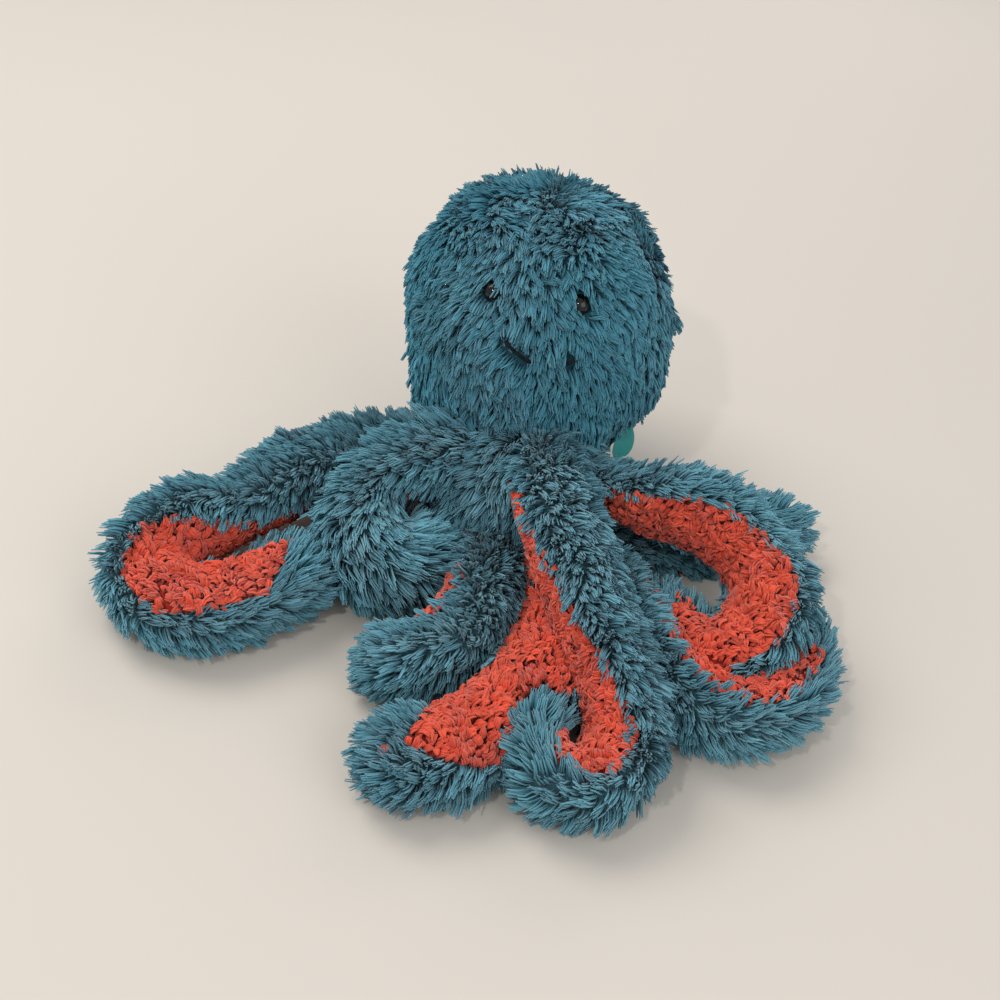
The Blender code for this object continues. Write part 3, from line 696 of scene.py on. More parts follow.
@dataclass(frozen=True)
class Wander:
    """A slow change from place to place, as a sum of waves."""

    scale: float
    seed: float
    ways: Tuple[Place, ...] = ((1.0, 0.7, -0.4), (-0.6, 1.0, 0.5), (0.3, -0.8, 1.0), (0.9, 0.2, 0.9))
    scale_step: float = 0.37
    first_phase: float = 1.7

    def at(self, points: Array) -> Array:
        """Read the change at some places.

        Args:
            points: Positions, n by 3.

        Returns:
            One value for each point, from -1 to 1.
        """
        total = np.zeros(len(points))
        for index, way in enumerate(self.ways):
            phase = points @ np.array(way) * self.scale * (1 + self.scale_step * index)
            total += np.sin(phase + self.seed * (self.first_phase + index))
        return total / len(self.ways)


PILE_TONE = Wander(45.0, 7.7)
PILE_SWIRL = Wander(90.0, 1.3)
PILE_RISE = Wander(60.0, 9.2)
PILE_LENGTH = Wander(210.0, 4.1)
CURL_SPIN = Wander(160.0, 2.9)
CURL_TONE = Wander(120.0, 5.5)


def cloth_tone(points: Array) -> Array:
    """Tone of the cloth under the pile, from 0 to 1."""
    return np.clip(CLOTH_TONE + CLOTH_TONE_WANDER * PILE_TONE.at(points), 0, 1)


# Soft volumes

OUTSIDE = 9.0
LEAST_RADIUS = 0.0001


class Volume:
    """Something soft that pile can't grow inside."""

    def depth(self, points: Array) -> Array:
        """Give how deep points lie, below 1 inside and above 1 outside.

        Args:
            points: Positions, n by 3.

        Returns:
            One value for each point.
        """
        raise NotImplementedError


def spline_row(rows: Sequence[Tuple[float, ...]], position: float) -> Tuple[float, ...]:
    """Read a row of values at a position along a smooth curve through the rows.

    Args:
        rows: The rows that the curve runs through.
        position: Where to read, in rows.

    Returns:
        The row of values there.
    """
    span = min(int(position), len(rows) - 2)
    t = position - span
    before, start, end = rows[max(span - 1, 0)], rows[span], rows[span + 1]
    after = rows[min(span + 2, len(rows) - 1)]
    return tuple(
        0.5 * (2 * b + (c - a) * t + (2 * a - 5 * b + 4 * c - d) * t * t + (3 * b - a - 3 * c + d) * t ** 3)
        for a, b, c, d in zip(before, start, end, after)
    )


@dataclass
class TurnedVolume(Volume):
    """The head or the body: a turned outline on a placed axis."""

    profile: Profile
    radius: float
    height: float
    place: Matrix
    foot: float = -0.001
    curve_steps: int = 4

    def __post_init__(self) -> None:
        """Work out the outline in metres, and the way to the part's own frame and back."""
        self.heights = np.array([share * self.height for share, _ in self.profile])
        self.radii = np.array([share * self.radius for _, share in self.profile])
        self.matrix = np.array(self.place)
        self.inverse = np.array(self.place.inverted())

    def world(self, points: Array) -> Array:
        """Points of the part's own frame in the row's frame."""
        return placed(points, self.matrix)

    def world_direction(self, vectors: Array) -> Array:
        """Directions of the part's own frame in the row's frame."""
        return vectors @ self.matrix[:3, :3].T

    def depth(self, points: Array) -> Array:
        """Give how deep points lie, as the base class says.

        Args:
            points: Positions, n by 3.

        Returns:
            One value for each point.
        """
        own = placed(points, self.inverse)
        reach = np.hypot(own[:, 0], own[:, 1])
        wide = np.interp(own[:, 2], self.heights, self.radii, left=LEAST_RADIUS, right=LEAST_RADIUS)
        value = reach / np.maximum(wide, LEAST_RADIUS)
        value[(own[:, 2] < self.foot) | (own[:, 2] > self.height)] = OUTSIDE
        return value

    def smooth_profile(self, count: int) -> Array:
        """Resample the outline along a smooth curve.

        Args:
            count: How many steps to give.

        Returns:
            Radii and heights, count + 1 by 2.
        """
        rows = [tuple(row) for row in np.stack([self.radii, self.heights], axis=1)]
        fine = count * self.curve_steps
        curve = np.array([spline_row(rows, (len(rows) - 1) * i / fine) for i in range(fine + 1)])
        curve[:, 0] = np.maximum(curve[:, 0], 0.0)
        length = run_along(curve)
        even = np.linspace(0, length[-1], count + 1)
        return np.stack([np.interp(even, length, curve[:, k]) for k in range(2)], axis=1)


def girth_at(share: Array, plan: ArmPlan) -> Array:
    """Arm girth along its length, as in the solids.

    Args:
        share: Shares of the arm's length.
        plan: The arm.

    Returns:
        Girths, where 1 is the full width.
    """
    rise = np.sin(np.clip(share / SWELL_SHARE, 0, 1) * math.pi / 2)
    swell = ROOT_GIRTH_SHARE + (1 - ROOT_GIRTH_SHARE) * rise
    t = np.clip((share - SWELL_SHARE) / (1 - SWELL_SHARE), 0, 1)
    return plan.girth * np.where(share < SWELL_SHARE, swell, 1 - (1 - plan.end_share) * t ** TAPER_POWER)


@dataclass
class ArmShape(Volume):
    """One arm's tube: its line, its section's axes, its size and its seams, at even stations."""

    plan: ArmPlan
    stations: int = 361
    route_steps: int = 14
    section_step_deg: int = 15
    coarse: int = 6
    block_size: int = 20000
    slab: float = 0.004
    least_size: float = 0.02
    least_wide: float = 0.0004
    least_deep: float = 0.0003
    steepest: float = 4.0

    def __post_init__(self) -> None:
        """Lay the line, then the sections, the stuffing and the seams along it."""
        self._lay()
        self._fill()
        self._sew()
        self.fold = self.length * self.plan.fold_share

    def _lay(self) -> None:
        """Lay the line on its route with the section's axes, as in the solids."""
        spans = len(self.plan.rows) - 1
        steps = spans * self.route_steps
        values = np.array([spline_row(self.plan.rows, spans * i / steps) for i in range(steps + 1)])
        turn = values[:, 3] * math.pi
        angle = np.radians(np.arange(0, 360, self.section_step_deg))
        sine = np.sin(angle)
        flat_u = ARM_WIDTH / 2 * np.cos(angle)
        flat_v = np.where(sine >= 0, BACK_DEPTH, LINING_DEPTH) * sine
        height = flat_v[None, :] * np.cos(turn)[:, None] - flat_u[None, :] * np.sin(turn)[:, None]
        size = girth_at(np.arange(steps + 1) / steps, self.plan)
        below = -(height * size[:, None]).min(axis=1)
        line = np.stack([
            values[:, 0] * ARM_REACH, values[:, 1] * ARM_REACH,
            below + np.maximum(values[:, 2], 0.0) * ARM_WIDTH], axis=1)
        run = run_along(line)
        self.length = run[-1] + ARM_TIP_LENGTH
        heading = unit(np.gradient(line, run, axis=0))
        line = np.concatenate([line, [line[-1] + heading[-1] * ARM_TIP_LENGTH]])
        heading = np.concatenate([heading, heading[-1:]])
        run = np.concatenate([run, [self.length]])
        self.distance = np.linspace(0, self.length, self.stations)
        self.line = self._resample(run, line)
        self.heading = unit(self._resample(run, heading))
        turn = np.interp(self.distance, run, np.concatenate([turn, turn[-1:]]))
        side = unit(np.cross(self.heading, UP))
        up = np.cross(side, self.heading)
        cosine, sine = np.cos(turn)[:, None], np.sin(turn)[:, None]
        self.across = side * cosine - up * sine
        self.towards_back = side * sine + up * cosine

    def _fill(self) -> None:
        """Give the sections their size, with the pinches and the round tip."""
        share = self.distance / self.length
        into_tip = np.clip((self.distance - (self.length - ARM_TIP_LENGTH)) / ARM_TIP_LENGTH, 0, 1)
        self.size = girth_at(share, self.plan) * np.sqrt(1 - into_tip ** 2)
        self.stuffed = np.ones(self.stations)
        self.sag = np.zeros(self.stations)
        for place, width, part, sag in self.plan.pinches:
            thin = np.exp(-((share - place) / width) ** 2)
            self.stuffed *= 1 - part * thin
            self.sag += sag * thin

    def _sew(self) -> None:
        """Work out how far each seam lies below the section's middle, closing at the tip."""
        closing = self.distance - (self.length - SEAM_CLOSING_LENGTH)
        closing = np.clip(closing / (SEAM_CLOSING_LENGTH - SEAM_CLOSED_LENGTH), 0, 1)
        shares, lows, highs = zip(*self.plan.seams)
        drops = [np.interp(self.distance / self.length, shares, row) for row in (lows, highs)]
        self.low_drop, self.high_drop = (
            np.radians(drop + (SEAM_END_DROP_DEG - drop) * closing) for drop in drops)

    def _resample(self, run: Array, values: Array) -> Array:
        """Read rows of three values at the even stations."""
        return np.stack([np.interp(self.distance, run, column) for column in values.T], axis=1)

    def at(self, distance: Array, table: Array) -> Array:
        """Read a table of the stations at any distances.

        Args:
            distance: Distances along the arm.
            table: One value or one row for each station.

        Returns:
            One value or one row for each distance.
        """
        if table.ndim == 1:
            return np.interp(distance, self.distance, table)
        return np.stack([np.interp(distance, self.distance, column) for column in table.T], axis=1)

    def depth(self, points: Array) -> Array:
        """Give how deep points lie, as the base class says.

        Args:
            points: Positions, n by 3.

        Returns:
            One value for each point.
        """
        line = self.line[::self.coarse]
        best = np.full(len(points), OUTSIDE)
        near = np.zeros(len(points), dtype=int)
        for start in range(0, len(points), self.block_size):
            block = slice(start, start + self.block_size)
            gap = ((points[block][:, None, :] - line[None, :, :]) ** 2).sum(axis=2)
            near[block] = gap.argmin(axis=1)
        for step in range(-self.coarse + 1, self.coarse):
            station = np.clip(near * self.coarse + step, 0, self.stations - 1)
            offset = points - self.line[station]
            u = (offset * self.across[station]).sum(axis=1)
            v = (offset * self.towards_back[station]).sum(axis=1)
            w = (offset * self.heading[station]).sum(axis=1)
            size = np.maximum(self.size[station], self.least_size)
            deep = np.where(v >= 0, BACK_DEPTH, LINING_DEPTH)
            value = np.sqrt((u / (ARM_WIDTH / 2 * size)) ** 2 + (v / (deep * size)) ** 2)
            best = np.minimum(best, np.where(np.abs(w) < self.slab, value, OUTSIDE))
        return best

    def surface(self, distance: Array, angle: Array, shrink: Array) -> Block:
        """Give places, outward normals and tip-ward directions on the fabric.

        Args:
            distance: Distances along the arm.
            angle: Angles round the section, from its right-hand side over the back.
            shrink: How far the fabric is pressed in, from 0, to the middle, to 1, not at all.

        Returns:
            Places, normals and directions.
        """
        size = self.at(distance, self.size * self.stuffed)
        distance = distance * (1 - TIP_INSET / self.length * (distance / self.length) ** 4)
        across, back = unit(self.at(distance, self.across)), unit(self.at(distance, self.towards_back))
        heading = unit(self.at(distance, self.heading))
        sine, cosine = np.sin(angle), np.cos(angle)
        wide = np.maximum(ARM_WIDTH / 2 * size - SKIN_INSET, self.least_wide)
        deep = np.where(sine >= 0, BACK_DEPTH, LINING_DEPTH) * size
        deep = np.maximum(deep - np.where(sine >= 0, SKIN_INSET, LINING_SKIN_INSET), self.least_deep)
        place = self.at(distance, self.line) + self.at(distance, self.sag)[:, None] * SAG_WAY
        offset = across * (wide * cosine)[:, None] + back * (deep * sine)[:, None]
        slope = self.at(distance, np.gradient(self.size, self.distance))
        slope = np.clip(slope * ARM_WIDTH / 2, -self.steepest, self.steepest)
        normal = unit(across * (cosine / wide)[:, None] + back * (sine / deep)[:, None])
        normal = unit(normal - heading * slope[:, None])
        along = unit(heading - normal * (heading * normal).sum(axis=1)[:, None])
        return place + offset * shrink[:, None], normal, along


@dataclass
class Dent:
    """How far an arm's fabric gives way to the things that press on it."""

    arm: ArmShape
    others: Sequence[Volume]
    rings: int = 120
    columns: int = 48
    least: float = 0.12
    step: float = 0.08
    tries: int = 12
    pressed_depth: float = 0.93
    end_margin: float = 1.001

    def __post_init__(self) -> None:
        """Press each place of the fabric in, step by step, until nothing is in its way."""
        distance = np.linspace(0, self.arm.length, self.rings)
        angle = np.linspace(0, 2 * math.pi, self.columns, endpoint=False)
        flat_s, flat_a = all_pairs(distance, angle)
        shrink = np.ones(len(flat_s))
        for share in np.linspace(1.0, self.least, self.tries):
            place, _, _ = self.arm.surface(flat_s, flat_a, np.full(len(flat_s), share))
            inside = np.zeros(len(flat_s), dtype=bool)
            for other in self.others:
                inside |= other.depth(place) < self.pressed_depth
            shrink = np.where(inside & (np.abs(shrink - share) < 1e-6), share - self.step, shrink)
        table = np.clip(shrink, self.least, 1.0).reshape(self.rings, self.columns)
        self.table = (table * 2 + np.roll(table, 1, axis=1) + np.roll(table, -1, axis=1)) / 4

    def read(self, distance: Array, angle: Array) -> Array:
        """Give the shrink at any places on the arm.

        Args:
            distance: Distances along the arm.
            angle: Angles round the section.

        Returns:
            The shrink, from 0 to 1.
        """
        row = np.clip(distance / self.arm.length * (self.rings - 1), 0, self.rings - self.end_margin)
        column = (angle / (2 * math.pi) * self.columns) % self.columns
        r0, c0 = row.astype(int), column.astype(int)
        fr, fc = row - r0, column - c0
        c1 = (c0 + 1) % self.columns
        upper = self.table[r0, c0] * (1 - fc) + self.table[r0, c1] * fc
        lower = self.table[r0 + 1, c0] * (1 - fc) + self.table[r0 + 1, c1] * fc
        return upper * (1 - fr) + lower * fr


# Pile

@dataclass
class Roots:
    """Where strands stand: place, normal, the way they're combed, and how much that way wanders."""

    place: Array
    normal: Array
    comb: Array
    unrest: Array

    def keep(self, mask: Array) -> Roots:
        """The roots that a mask keeps."""
        return Roots(self.place[mask], self.normal[mask], self.comb[mask], self.unrest[mask])

    def off_floor(self) -> Array:
        """Tell which roots aren't pressed against the floor."""
        height = self.place[:, 2]
        return (height > FLOOR_CLEARANCE) & ~((self.normal[:, 2] < FACE_DOWN) & (height < NEAR_FLOOR))


@dataclass
class Strands:
    """Grown strands: their paths, thickness and tone, and the way that each one's cloth faces."""

    paths: Array
    radii: Array
    tone: Array
    facing: Array

    def keep(self, mask: Array) -> Strands:
        """The strands that a mask or a list of numbers keeps."""
        return Strands(self.paths[mask], self.radii[mask], self.tone[mask], self.facing[mask])

    def skin(self, sides: int = STRAND_SIDES) -> Block:
        """Skin all the strands at once.

        Args:
            sides: Sides of each strand.

        Returns:
            Points, quads and bake places.
        """
        count, steps = self.paths.shape[:2]
        along = unit(np.gradient(self.paths, axis=1))
        first = unit(np.cross(along, self.facing[:, None, :]))
        second = np.cross(along, first)
        turns = np.arange(sides) * (2 * math.pi / sides)
        ring = (
            first[:, :, None, :] * np.cos(turns)[None, None, :, None]
            + second[:, :, None, :] * np.sin(turns)[None, None, :, None]
        )
        points = self.paths[:, :, None, :] + ring * self.radii[:, :, None, None]
        quads = weave_quads(np.arange(count * steps * sides).reshape(count, steps, sides), True)
        shape = (count, steps - 1, sides)
        column = TONE_START + TONE_SPAN * self.tone[:, None, None] + np.arange(sides) * BAKE_STEP
        # Along each strand the bake map runs from root to tip; in the piles this reads painted shade to
        # painted light
        low = np.broadcast_to((np.arange(steps - 1) / (steps - 1))[None, :, None], shape).reshape(-1, 1)
        places = np.empty((len(quads), 4, 2))
        places[:, :, 0] = np.broadcast_to(column, shape).reshape(-1, 1) + BAKE_STRIP
        places[:, :2, 1] = low
        places[:, 2:, 1] = low + 1.0 / (steps - 1)
        return points.reshape(-1, 3), quads, places


@dataclass(frozen=True)
class PileStyle:
    """How a shaggy pile stands: its length, thickness, lay and clumps, with their spreads."""

    length: float
    radius: float
    spacing: float
    lift_start_deg: float
    lift_end_deg: float
    clump_size: float
    gather: float
    swirl_deg: float
    stray_deg: float
    rise_deg: float
    clumping: float = 0.76
    length_spread: float = 0.20
    length_wander: float = 0.16
    start_spread_deg: float = 9.0
    end_spread_deg: float = 13.0
    side_spread: float = 0.10
    crown_rise_deg: float = 4.0
    length_limit: float = 0.5
    clumping_rate: float = 1.6
    thickness_range: Tuple[float, float] = (0.8, 1.25)
    tone_wander: float = 0.26
    clump_tone: float = 0.60
    tone_spread: float = 0.10
    root_depth: float = 0.0006
    taper: Ramp = ((0.0, 0.34, 0.67, 1.0), (0.8, 1.0, 1.08, 0.56))
    steps: int = 3

    def grow(self, roots: Roots, rng: np.random.Generator) -> Strands:
        """Grow combed, clumped strands.

        Args:
            roots: Where they stand.
            rng: Source of chance.

        Returns:
            The strands.
        """
        count = len(roots.place)
        share = np.linspace(0, 1, self.steps + 1)
        paths = self.lone_paths(roots, rng)
        guides = rng.permutation(count)[:max(int(count * (self.spacing / self.clump_size) ** 2), 1)]
        nearest = guides[self.nearest(roots.place[guides], roots.place)]
        offset = (roots.place - roots.place[nearest])[:, None, :]
        clumped = paths[nearest] + offset * (1 - self.gather * share[None, :, None])
        strength = self.clumping * np.minimum(share[None, :, None] * self.clumping_rate, 1.0)
        paths = paths * (1 - strength) + clumped * strength

        taper = np.interp(share, *self.taper)
        radii = self.radius * taper[None, :] * rng.uniform(*self.thickness_range, count)[:, None]
        clump_tone = rng.uniform(0, 1, count)[nearest]
        tone = 0.5 + self.tone_wander * PILE_TONE.at(roots.place) + self.clump_tone * (clump_tone - 0.5)
        tone = np.clip(tone + rng.normal(0, self.tone_spread, count), 0, 1)
        return Strands(paths, radii, tone, roots.normal)

    def lone_paths(self, roots: Roots, rng: np.random.Generator) -> Array:
        """Grow each strand by itself, before it gathers with its neighbours.

        Args:
            roots: Where they stand.
            rng: Source of chance.

        Returns:
            Strands by points by 3.
        """
        count = len(roots.place)
        swirl = PILE_SWIRL.at(roots.place) * math.radians(self.swirl_deg) * roots.unrest
        swirl = swirl + rng.normal(0, math.radians(self.stray_deg), count)
        cross = np.cross(roots.normal, roots.comb)
        comb = roots.comb * np.cos(swirl)[:, None] + cross * np.sin(swirl)[:, None]
        rise = PILE_RISE.at(roots.place) * self.rise_deg * np.sqrt(roots.unrest)
        rise += np.maximum(roots.unrest - 1, 0) * self.crown_rise_deg
        longer = rng.normal(0, self.length_spread, count).clip(-self.length_limit, self.length_limit)
        length = self.length * (1 + longer)
        length *= 1 + self.length_wander * PILE_LENGTH.at(roots.place)
        start = np.radians(self.lift_start_deg + rng.normal(0, self.start_spread_deg, count))
        end = np.radians(self.lift_end_deg + rise + rng.normal(0, self.end_spread_deg, count))
        points = [roots.place - roots.normal * self.root_depth]
        for step in range(self.steps):
            lift = start + (end - start) * (step + 0.5) / self.steps
            side = rng.normal(0, self.side_spread, count)
            way = unit(
                roots.normal * np.sin(lift)[:, None] + comb * np.cos(lift)[:, None] + cross * side[:, None])
            points.append(points[-1] + way * (length / self.steps)[:, None])
        return np.stack(points, axis=1)

    @staticmethod
    def nearest(guides: Array, places: Array) -> Array:
        """Find the nearest guide of each place.

        Args:
            guides: Positions of the guides.
            places: Positions to look from.

        Returns:
            The number of a guide for each place.
        """
        tree = KDTree(len(guides))
        for index, guide in enumerate(guides):
            tree.insert(guide, index)
        tree.balance()
        return np.array([tree.find(place)[1] for place in places], dtype=int)


@dataclass(frozen=True)
class CurlStyle:
    """How a curly pile stands: its curls' size, thickness, spacing and turn, with their spreads."""

    radius: float
    thickness: float
    spacing: float
    turn: float
    ply_offset: float
    plies: int = 4
    steps: int = 5
    spin_spread: float = 0.55
    spin_wander: float = 2.4
    pitch_spread: float = 0.5
    size_range: Tuple[float, float] = (0.75, 1.45)
    turn_range: Tuple[float, float] = (0.75, 1.2)
    ply_size_range: Tuple[float, float] = (0.86, 1.12)
    ply_turn_range: Tuple[float, float] = (0.9, 1.1)
    thickness_range: Tuple[float, float] = (0.85, 1.2)
    tone_wander: float = 0.30
    tone_spread: float = 0.17
    ply_tone_spread: float = 0.08
    end_spread: float = 0.4
    middle_height: float = 1.15
    roll_height: float = 1.05
    taper: Ramp = ((0.0, 0.3, 0.8, 1.0), (0.8, 1.0, 0.95, 0.5))

    def grow(self, roots: Roots, rng: np.random.Generator) -> Strands:
        """Grow short curls of several plies that roll over on themselves.

        Args:
            roots: Where they stand.
            rng: Source of chance.

        Returns:
            The plies as strands.
        """
        count = len(roots.place)
        spin = rng.normal(0, self.spin_spread, count) + CURL_SPIN.at(roots.place) * self.spin_wander
        cross = np.cross(roots.normal, roots.comb)
        way = roots.comb * np.cos(spin)[:, None] + cross * np.sin(spin)[:, None]
        aside = np.cross(roots.normal, way)
        radius = self.radius * rng.uniform(*self.size_range, count)
        turn = self.turn * rng.uniform(*self.turn_range, count)
        pitch = rng.normal(0, self.pitch_spread, count)
        tone = 0.5 + self.tone_wander * CURL_TONE.at(roots.place)
        tone = np.clip(tone + rng.normal(0, self.tone_spread, count), 0, 1)
        share = np.linspace(0, 1, self.steps + 1)
        spread = np.sin(share * math.pi) * (1 - self.end_spread) + self.end_spread
        plies = []
        for ply in np.arange(self.plies) - (self.plies - 1) / 2:
            ply_radius = radius * rng.uniform(*self.ply_size_range, count)
            angle = (turn * rng.uniform(*self.ply_turn_range, count))[:, None] * share[None, :]
            rise = ply_radius[:, None] * (self.middle_height - self.roll_height * np.cos(angle))
            reach = ply_radius[:, None] * np.sin(angle)
            drift = radius[:, None] * pitch[:, None] * share[None, :]
            drift = drift + ply * self.ply_offset * spread[None, :]
            plies.append(
                roots.place[:, None, :]
                + roots.normal[:, None, :] * rise[:, :, None]
                + way[:, None, :] * reach[:, :, None]
                + aside[:, None, :] * drift[:, :, None]
            )
        paths = np.concatenate(plies)
        taper = np.interp(share, *self.taper)
        radii = self.thickness * taper[None, :] * rng.uniform(*self.thickness_range, len(paths))[:, None]
        tone = np.tile(tone, len(plies)) + rng.normal(0, self.ply_tone_spread, len(paths))
        tone = np.clip(tone, 0, 1)
        return Strands(paths, radii, tone, np.tile(roots.normal, (len(plies), 1)))


ARM_PILE = PileStyle(
    length=0.0106, radius=0.00043, spacing=0.00122, lift_start_deg=77.0, lift_end_deg=32.0,
    clump_size=0.0036, gather=0.34, swirl_deg=40.0, stray_deg=18.0, rise_deg=26.0)
HEAD_PILE = PileStyle(
    length=0.0094, radius=0.00046, spacing=0.00118, lift_start_deg=66.0, lift_end_deg=14.0,
    clump_size=0.0032, gather=0.38, swirl_deg=44.0, stray_deg=20.0, rise_deg=18.0)
CORAL_CURLS = CurlStyle(radius=0.0020, thickness=0.00064, spacing=0.0022, turn=4.1, ply_offset=0.00084)


def scatter(area: Array, fine: Array, spacing: float, rng: np.random.Generator) -> Tuple[Array, Array]:
    """Spread roots evenly over a strip of cloth.

    Args:
        area: Cloth area up to each fine step.
        fine: Where the fine steps are along the strip.
        spacing: Distance between roots.
        rng: Source of chance.

    Returns:
        Where each root is along the strip, and its share of the way across.
    """
    count = int(area[-1] / spacing ** 2)
    pick = (np.arange(count) + rng.uniform(0, 1, count)) / count * area[-1]
    return np.interp(pick, area, fine), (np.arange(count) * GOLDEN_SHARE) % 1.0


# Arms

@dataclass
class Arm:
    """One arm: fabric, shaggy back and curly lining, in three or four lengths."""

    shape: ArmShape
    pressing: Sequence[Volume]
    hiding: Sequence[Volume]
    materials: Dict[Side, bpy.types.Material]
    back_pile: PileStyle = ARM_PILE
    curls: CurlStyle = CORAL_CURLS
    fold_zone_half: float = 0.019
    fold_slab_half: float = 0.013
    long_piece: float = 0.110
    cloth_step: float = 0.0045
    least_rings: int = 4
    least_width: float = 0.0005
    across_spread: float = 0.02
    edge_lean: float = 0.5
    curls_depth: float = 0.66
    shag_depth: float = 0.90
    buried_depth: float = 0.86
    fill: float = 0.6

    def __post_init__(self) -> None:
        """Find the dents, start the chance, and fit the back's pile to the plan."""
        self.dent = Dent(self.shape, self.pressing)
        self.rng = np.random.default_rng(self.shape.plan.seed)
        self.back_pile = replace(self.back_pile, length=self.back_pile.length * self.shape.plan.pile_scale)

    def spans(self) -> List[Tuple[Zone, float, float]]:
        """Give each piece's length of the arm.

        Returns:
            Its zone, with the distances where it starts and ends.
        """
        start, end = self.shape.fold + self.fold_zone_half, self.shape.length
        middle = (start + end) / 2 if end - start > self.long_piece else end
        spans = [
            (Zone.INNER, 0.0, self.shape.fold - self.fold_zone_half),
            (Zone.FOLD, self.shape.fold - self.fold_zone_half, start),
            (Zone.OUTER, start, middle),
        ]
        return spans + ([(Zone.OUTER, middle, end)] if middle < end else [])

    def strip(self, side: Side, distance: Array) -> Tuple[Array, Array]:
        """Give the angles where a strip starts and ends.

        Args:
            side: Back or lining.
            distance: Distances along the arm.

        Returns:
            The first and the last angle at each distance.
        """
        low = self.shape.at(distance, self.shape.low_drop)
        high = self.shape.at(distance, self.shape.high_drop)
        return (-high, math.pi + low) if side is Side.BACK else (math.pi + low, 2 * math.pi - high)

    def fabric(self, side: Side, start: float, end: float) -> Block:
        """Make one strip of fabric between two distances.

        Args:
            side: Back or lining.
            start: Where it starts.
            end: Where it ends.

        Returns:
            Points, quads and bake places.
        """
        rings = max(int((end - start) / self.cloth_step), self.least_rings)
        count = CLOTH_COLUMNS[side]
        share = np.linspace(0, 1, rings + 1)
        share = np.sin(share * math.pi / 2) if end >= self.shape.length else share
        distance = start + (end - start) * share
        low, high = self.strip(side, distance)
        angle = low[:, None] + (high - low)[:, None] * np.linspace(0, 1, count + 1)[None, :]
        flat_s, flat_a = np.repeat(distance, count + 1), angle.ravel()
        place = settle(self.shape.surface(flat_s, flat_a, self.dent.read(flat_s, flat_a))[0])
        return cloth_block(place.reshape(rings + 1, count + 1, 3), False, cloth_tone(place))

    def roots(self, side: Side, start: float, end: float) -> Roots:
        """Scatter roots over a strip between two distances, where they can be seen.

        Args:
            side: Back or lining.
            start: Where the strip starts.
            end: Where it ends.

        Returns:
            The roots.
        """
        shape, back = self.shape, side is Side.BACK
        fine = np.linspace(start, end, FINE_STEPS)
        low, high = self.strip(side, fine)
        slope = shape.at(fine, np.gradient(shape.size, shape.distance)) * ARM_WIDTH / 2
        wide = (ARM_WIDTH / 2 + (BACK_DEPTH if back else LINING_DEPTH)) / 2
        width = np.maximum(shape.at(fine, shape.size) * wide - SKIN_INSET, self.least_width) * (high - low)
        width = width * np.sqrt(1 + slope ** 2)
        area = np.concatenate([[0], np.cumsum((width[1:] + width[:-1]) / 2 * np.diff(fine))])
        style = self.back_pile if back else self.curls
        distance, golden = scatter(area, fine, style.spacing, self.rng)
        across = (golden + self.rng.normal(0, self.across_spread, len(golden))).clip(0, 1)
        low, high = self.strip(side, distance)
        angle = low + (high - low) * across
        shrink = self.dent.read(distance, angle)
        place, normal, along = shape.surface(distance, angle, shrink)
        if back:
            edge = (across - 0.5) * 2
            lean = np.sign(edge) * np.abs(edge) ** 3 * self.edge_lean
            along = unit(along - np.cross(along, normal) * lean[:, None])
        roots = Roots(place, normal, along, np.ones(len(place)))
        roots = roots.keep((shrink > LEAST_PILED_SHRINK[side]) & roots.off_floor())
        return roots.keep(~self.hidden(roots, side))

    def hidden(self, roots: Roots, side: Side) -> Array:
        """Tell which roots lie so deep in a neighbour that their strands can't be seen.

        Args:
            roots: The roots.
            side: Back or lining.

        Returns:
            True for each hidden root.
        """
        hidden = np.zeros(len(roots.place), dtype=bool)
        above = roots.place + roots.normal * BURIED_HEIGHT
        for other in self.hiding:
            if side is Side.LINING:
                hidden |= other.depth(roots.place) < self.curls_depth
            else:
                hidden |= other.depth(roots.place) < self.shag_depth
                hidden |= other.depth(above) < self.buried_depth
        return hidden

    def piece(self, side: Side, zone: Zone, start: float, end: float) -> bpy.types.Object:
        """Make one strip's piece between two distances.

        Args:
            side: Back or lining.
            zone: Which length it is.
            start: Where it starts.
            end: Where it ends.

        Returns:
            The piece, riding on its body unless it lies across the fold.
        """
        parts = MeshParts()
        parts.add(*self.fabric(side, start, end))
        style = self.back_pile if side is Side.BACK else self.curls
        strands = style.grow(self.roots(side, start, end), self.rng)
        if len(strands.paths):
            points, quads, places = strands.skin()
            parts.add(settle(points), quads, places)
        name = "_".join((self.shape.plan.name, PILE_NAMES[side], zone.value))
        if end < self.shape.length and zone is Zone.OUTER:
            name += "_start"
        obj = parts.build(name, self.materials[side])
        self.attach(obj, zone)
        return obj

    def attach(self, obj: bpy.types.Object, zone: Zone) -> None:
        """Ride the piece on its body; a piece across the fold is left where it lies, on no body.

        Args:
            obj: The piece.
            zone: Which length it is.
        """
        body = self.shape.plan.name
        if zone is Zone.FOLD:
            fold = np.array([self.shape.fold])
            centre = self.shape.at(fold, self.shape.line)[0]
            reach = self.shape.at(fold, self.shape.heading)[0] * self.fold_slab_half
            tuple(centre - reach)
            tuple(centre + reach)
            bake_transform(obj)
        else:
            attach(obj, "root" if zone is Zone.INNER else body)

    def build(self) -> List[bpy.types.Object]:
        """Make all the pieces, and stand them in for the arm's solids.

        Returns:
            The pieces.
        """
        name = self.shape.plan.name
        made = []
        for zone, start, end in self.spans():
            for side in Side:
                obj = self.piece(side, zone, start, end)
                made.append(obj)
                if zone is Zone.FOLD or (zone is Zone.OUTER and end < self.shape.length):
                    continue
                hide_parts("_".join((name, side.value, zone.value)))
                if side is Side.BACK:
                    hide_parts("_".join((name, "stuffing", zone.value)))
        return made


# Head and body

def head_matrix() -> Matrix:
    """Place of the head, as in the solids."""
    lean = Matrix.Rotation(math.radians(-HEAD_LEAN_DEG), 4, "X")
    return Matrix.Translation(NECK_PLACE) @ lean @ Matrix.Rotation(math.radians(FACE_TURN_DEG), 4, "Z")


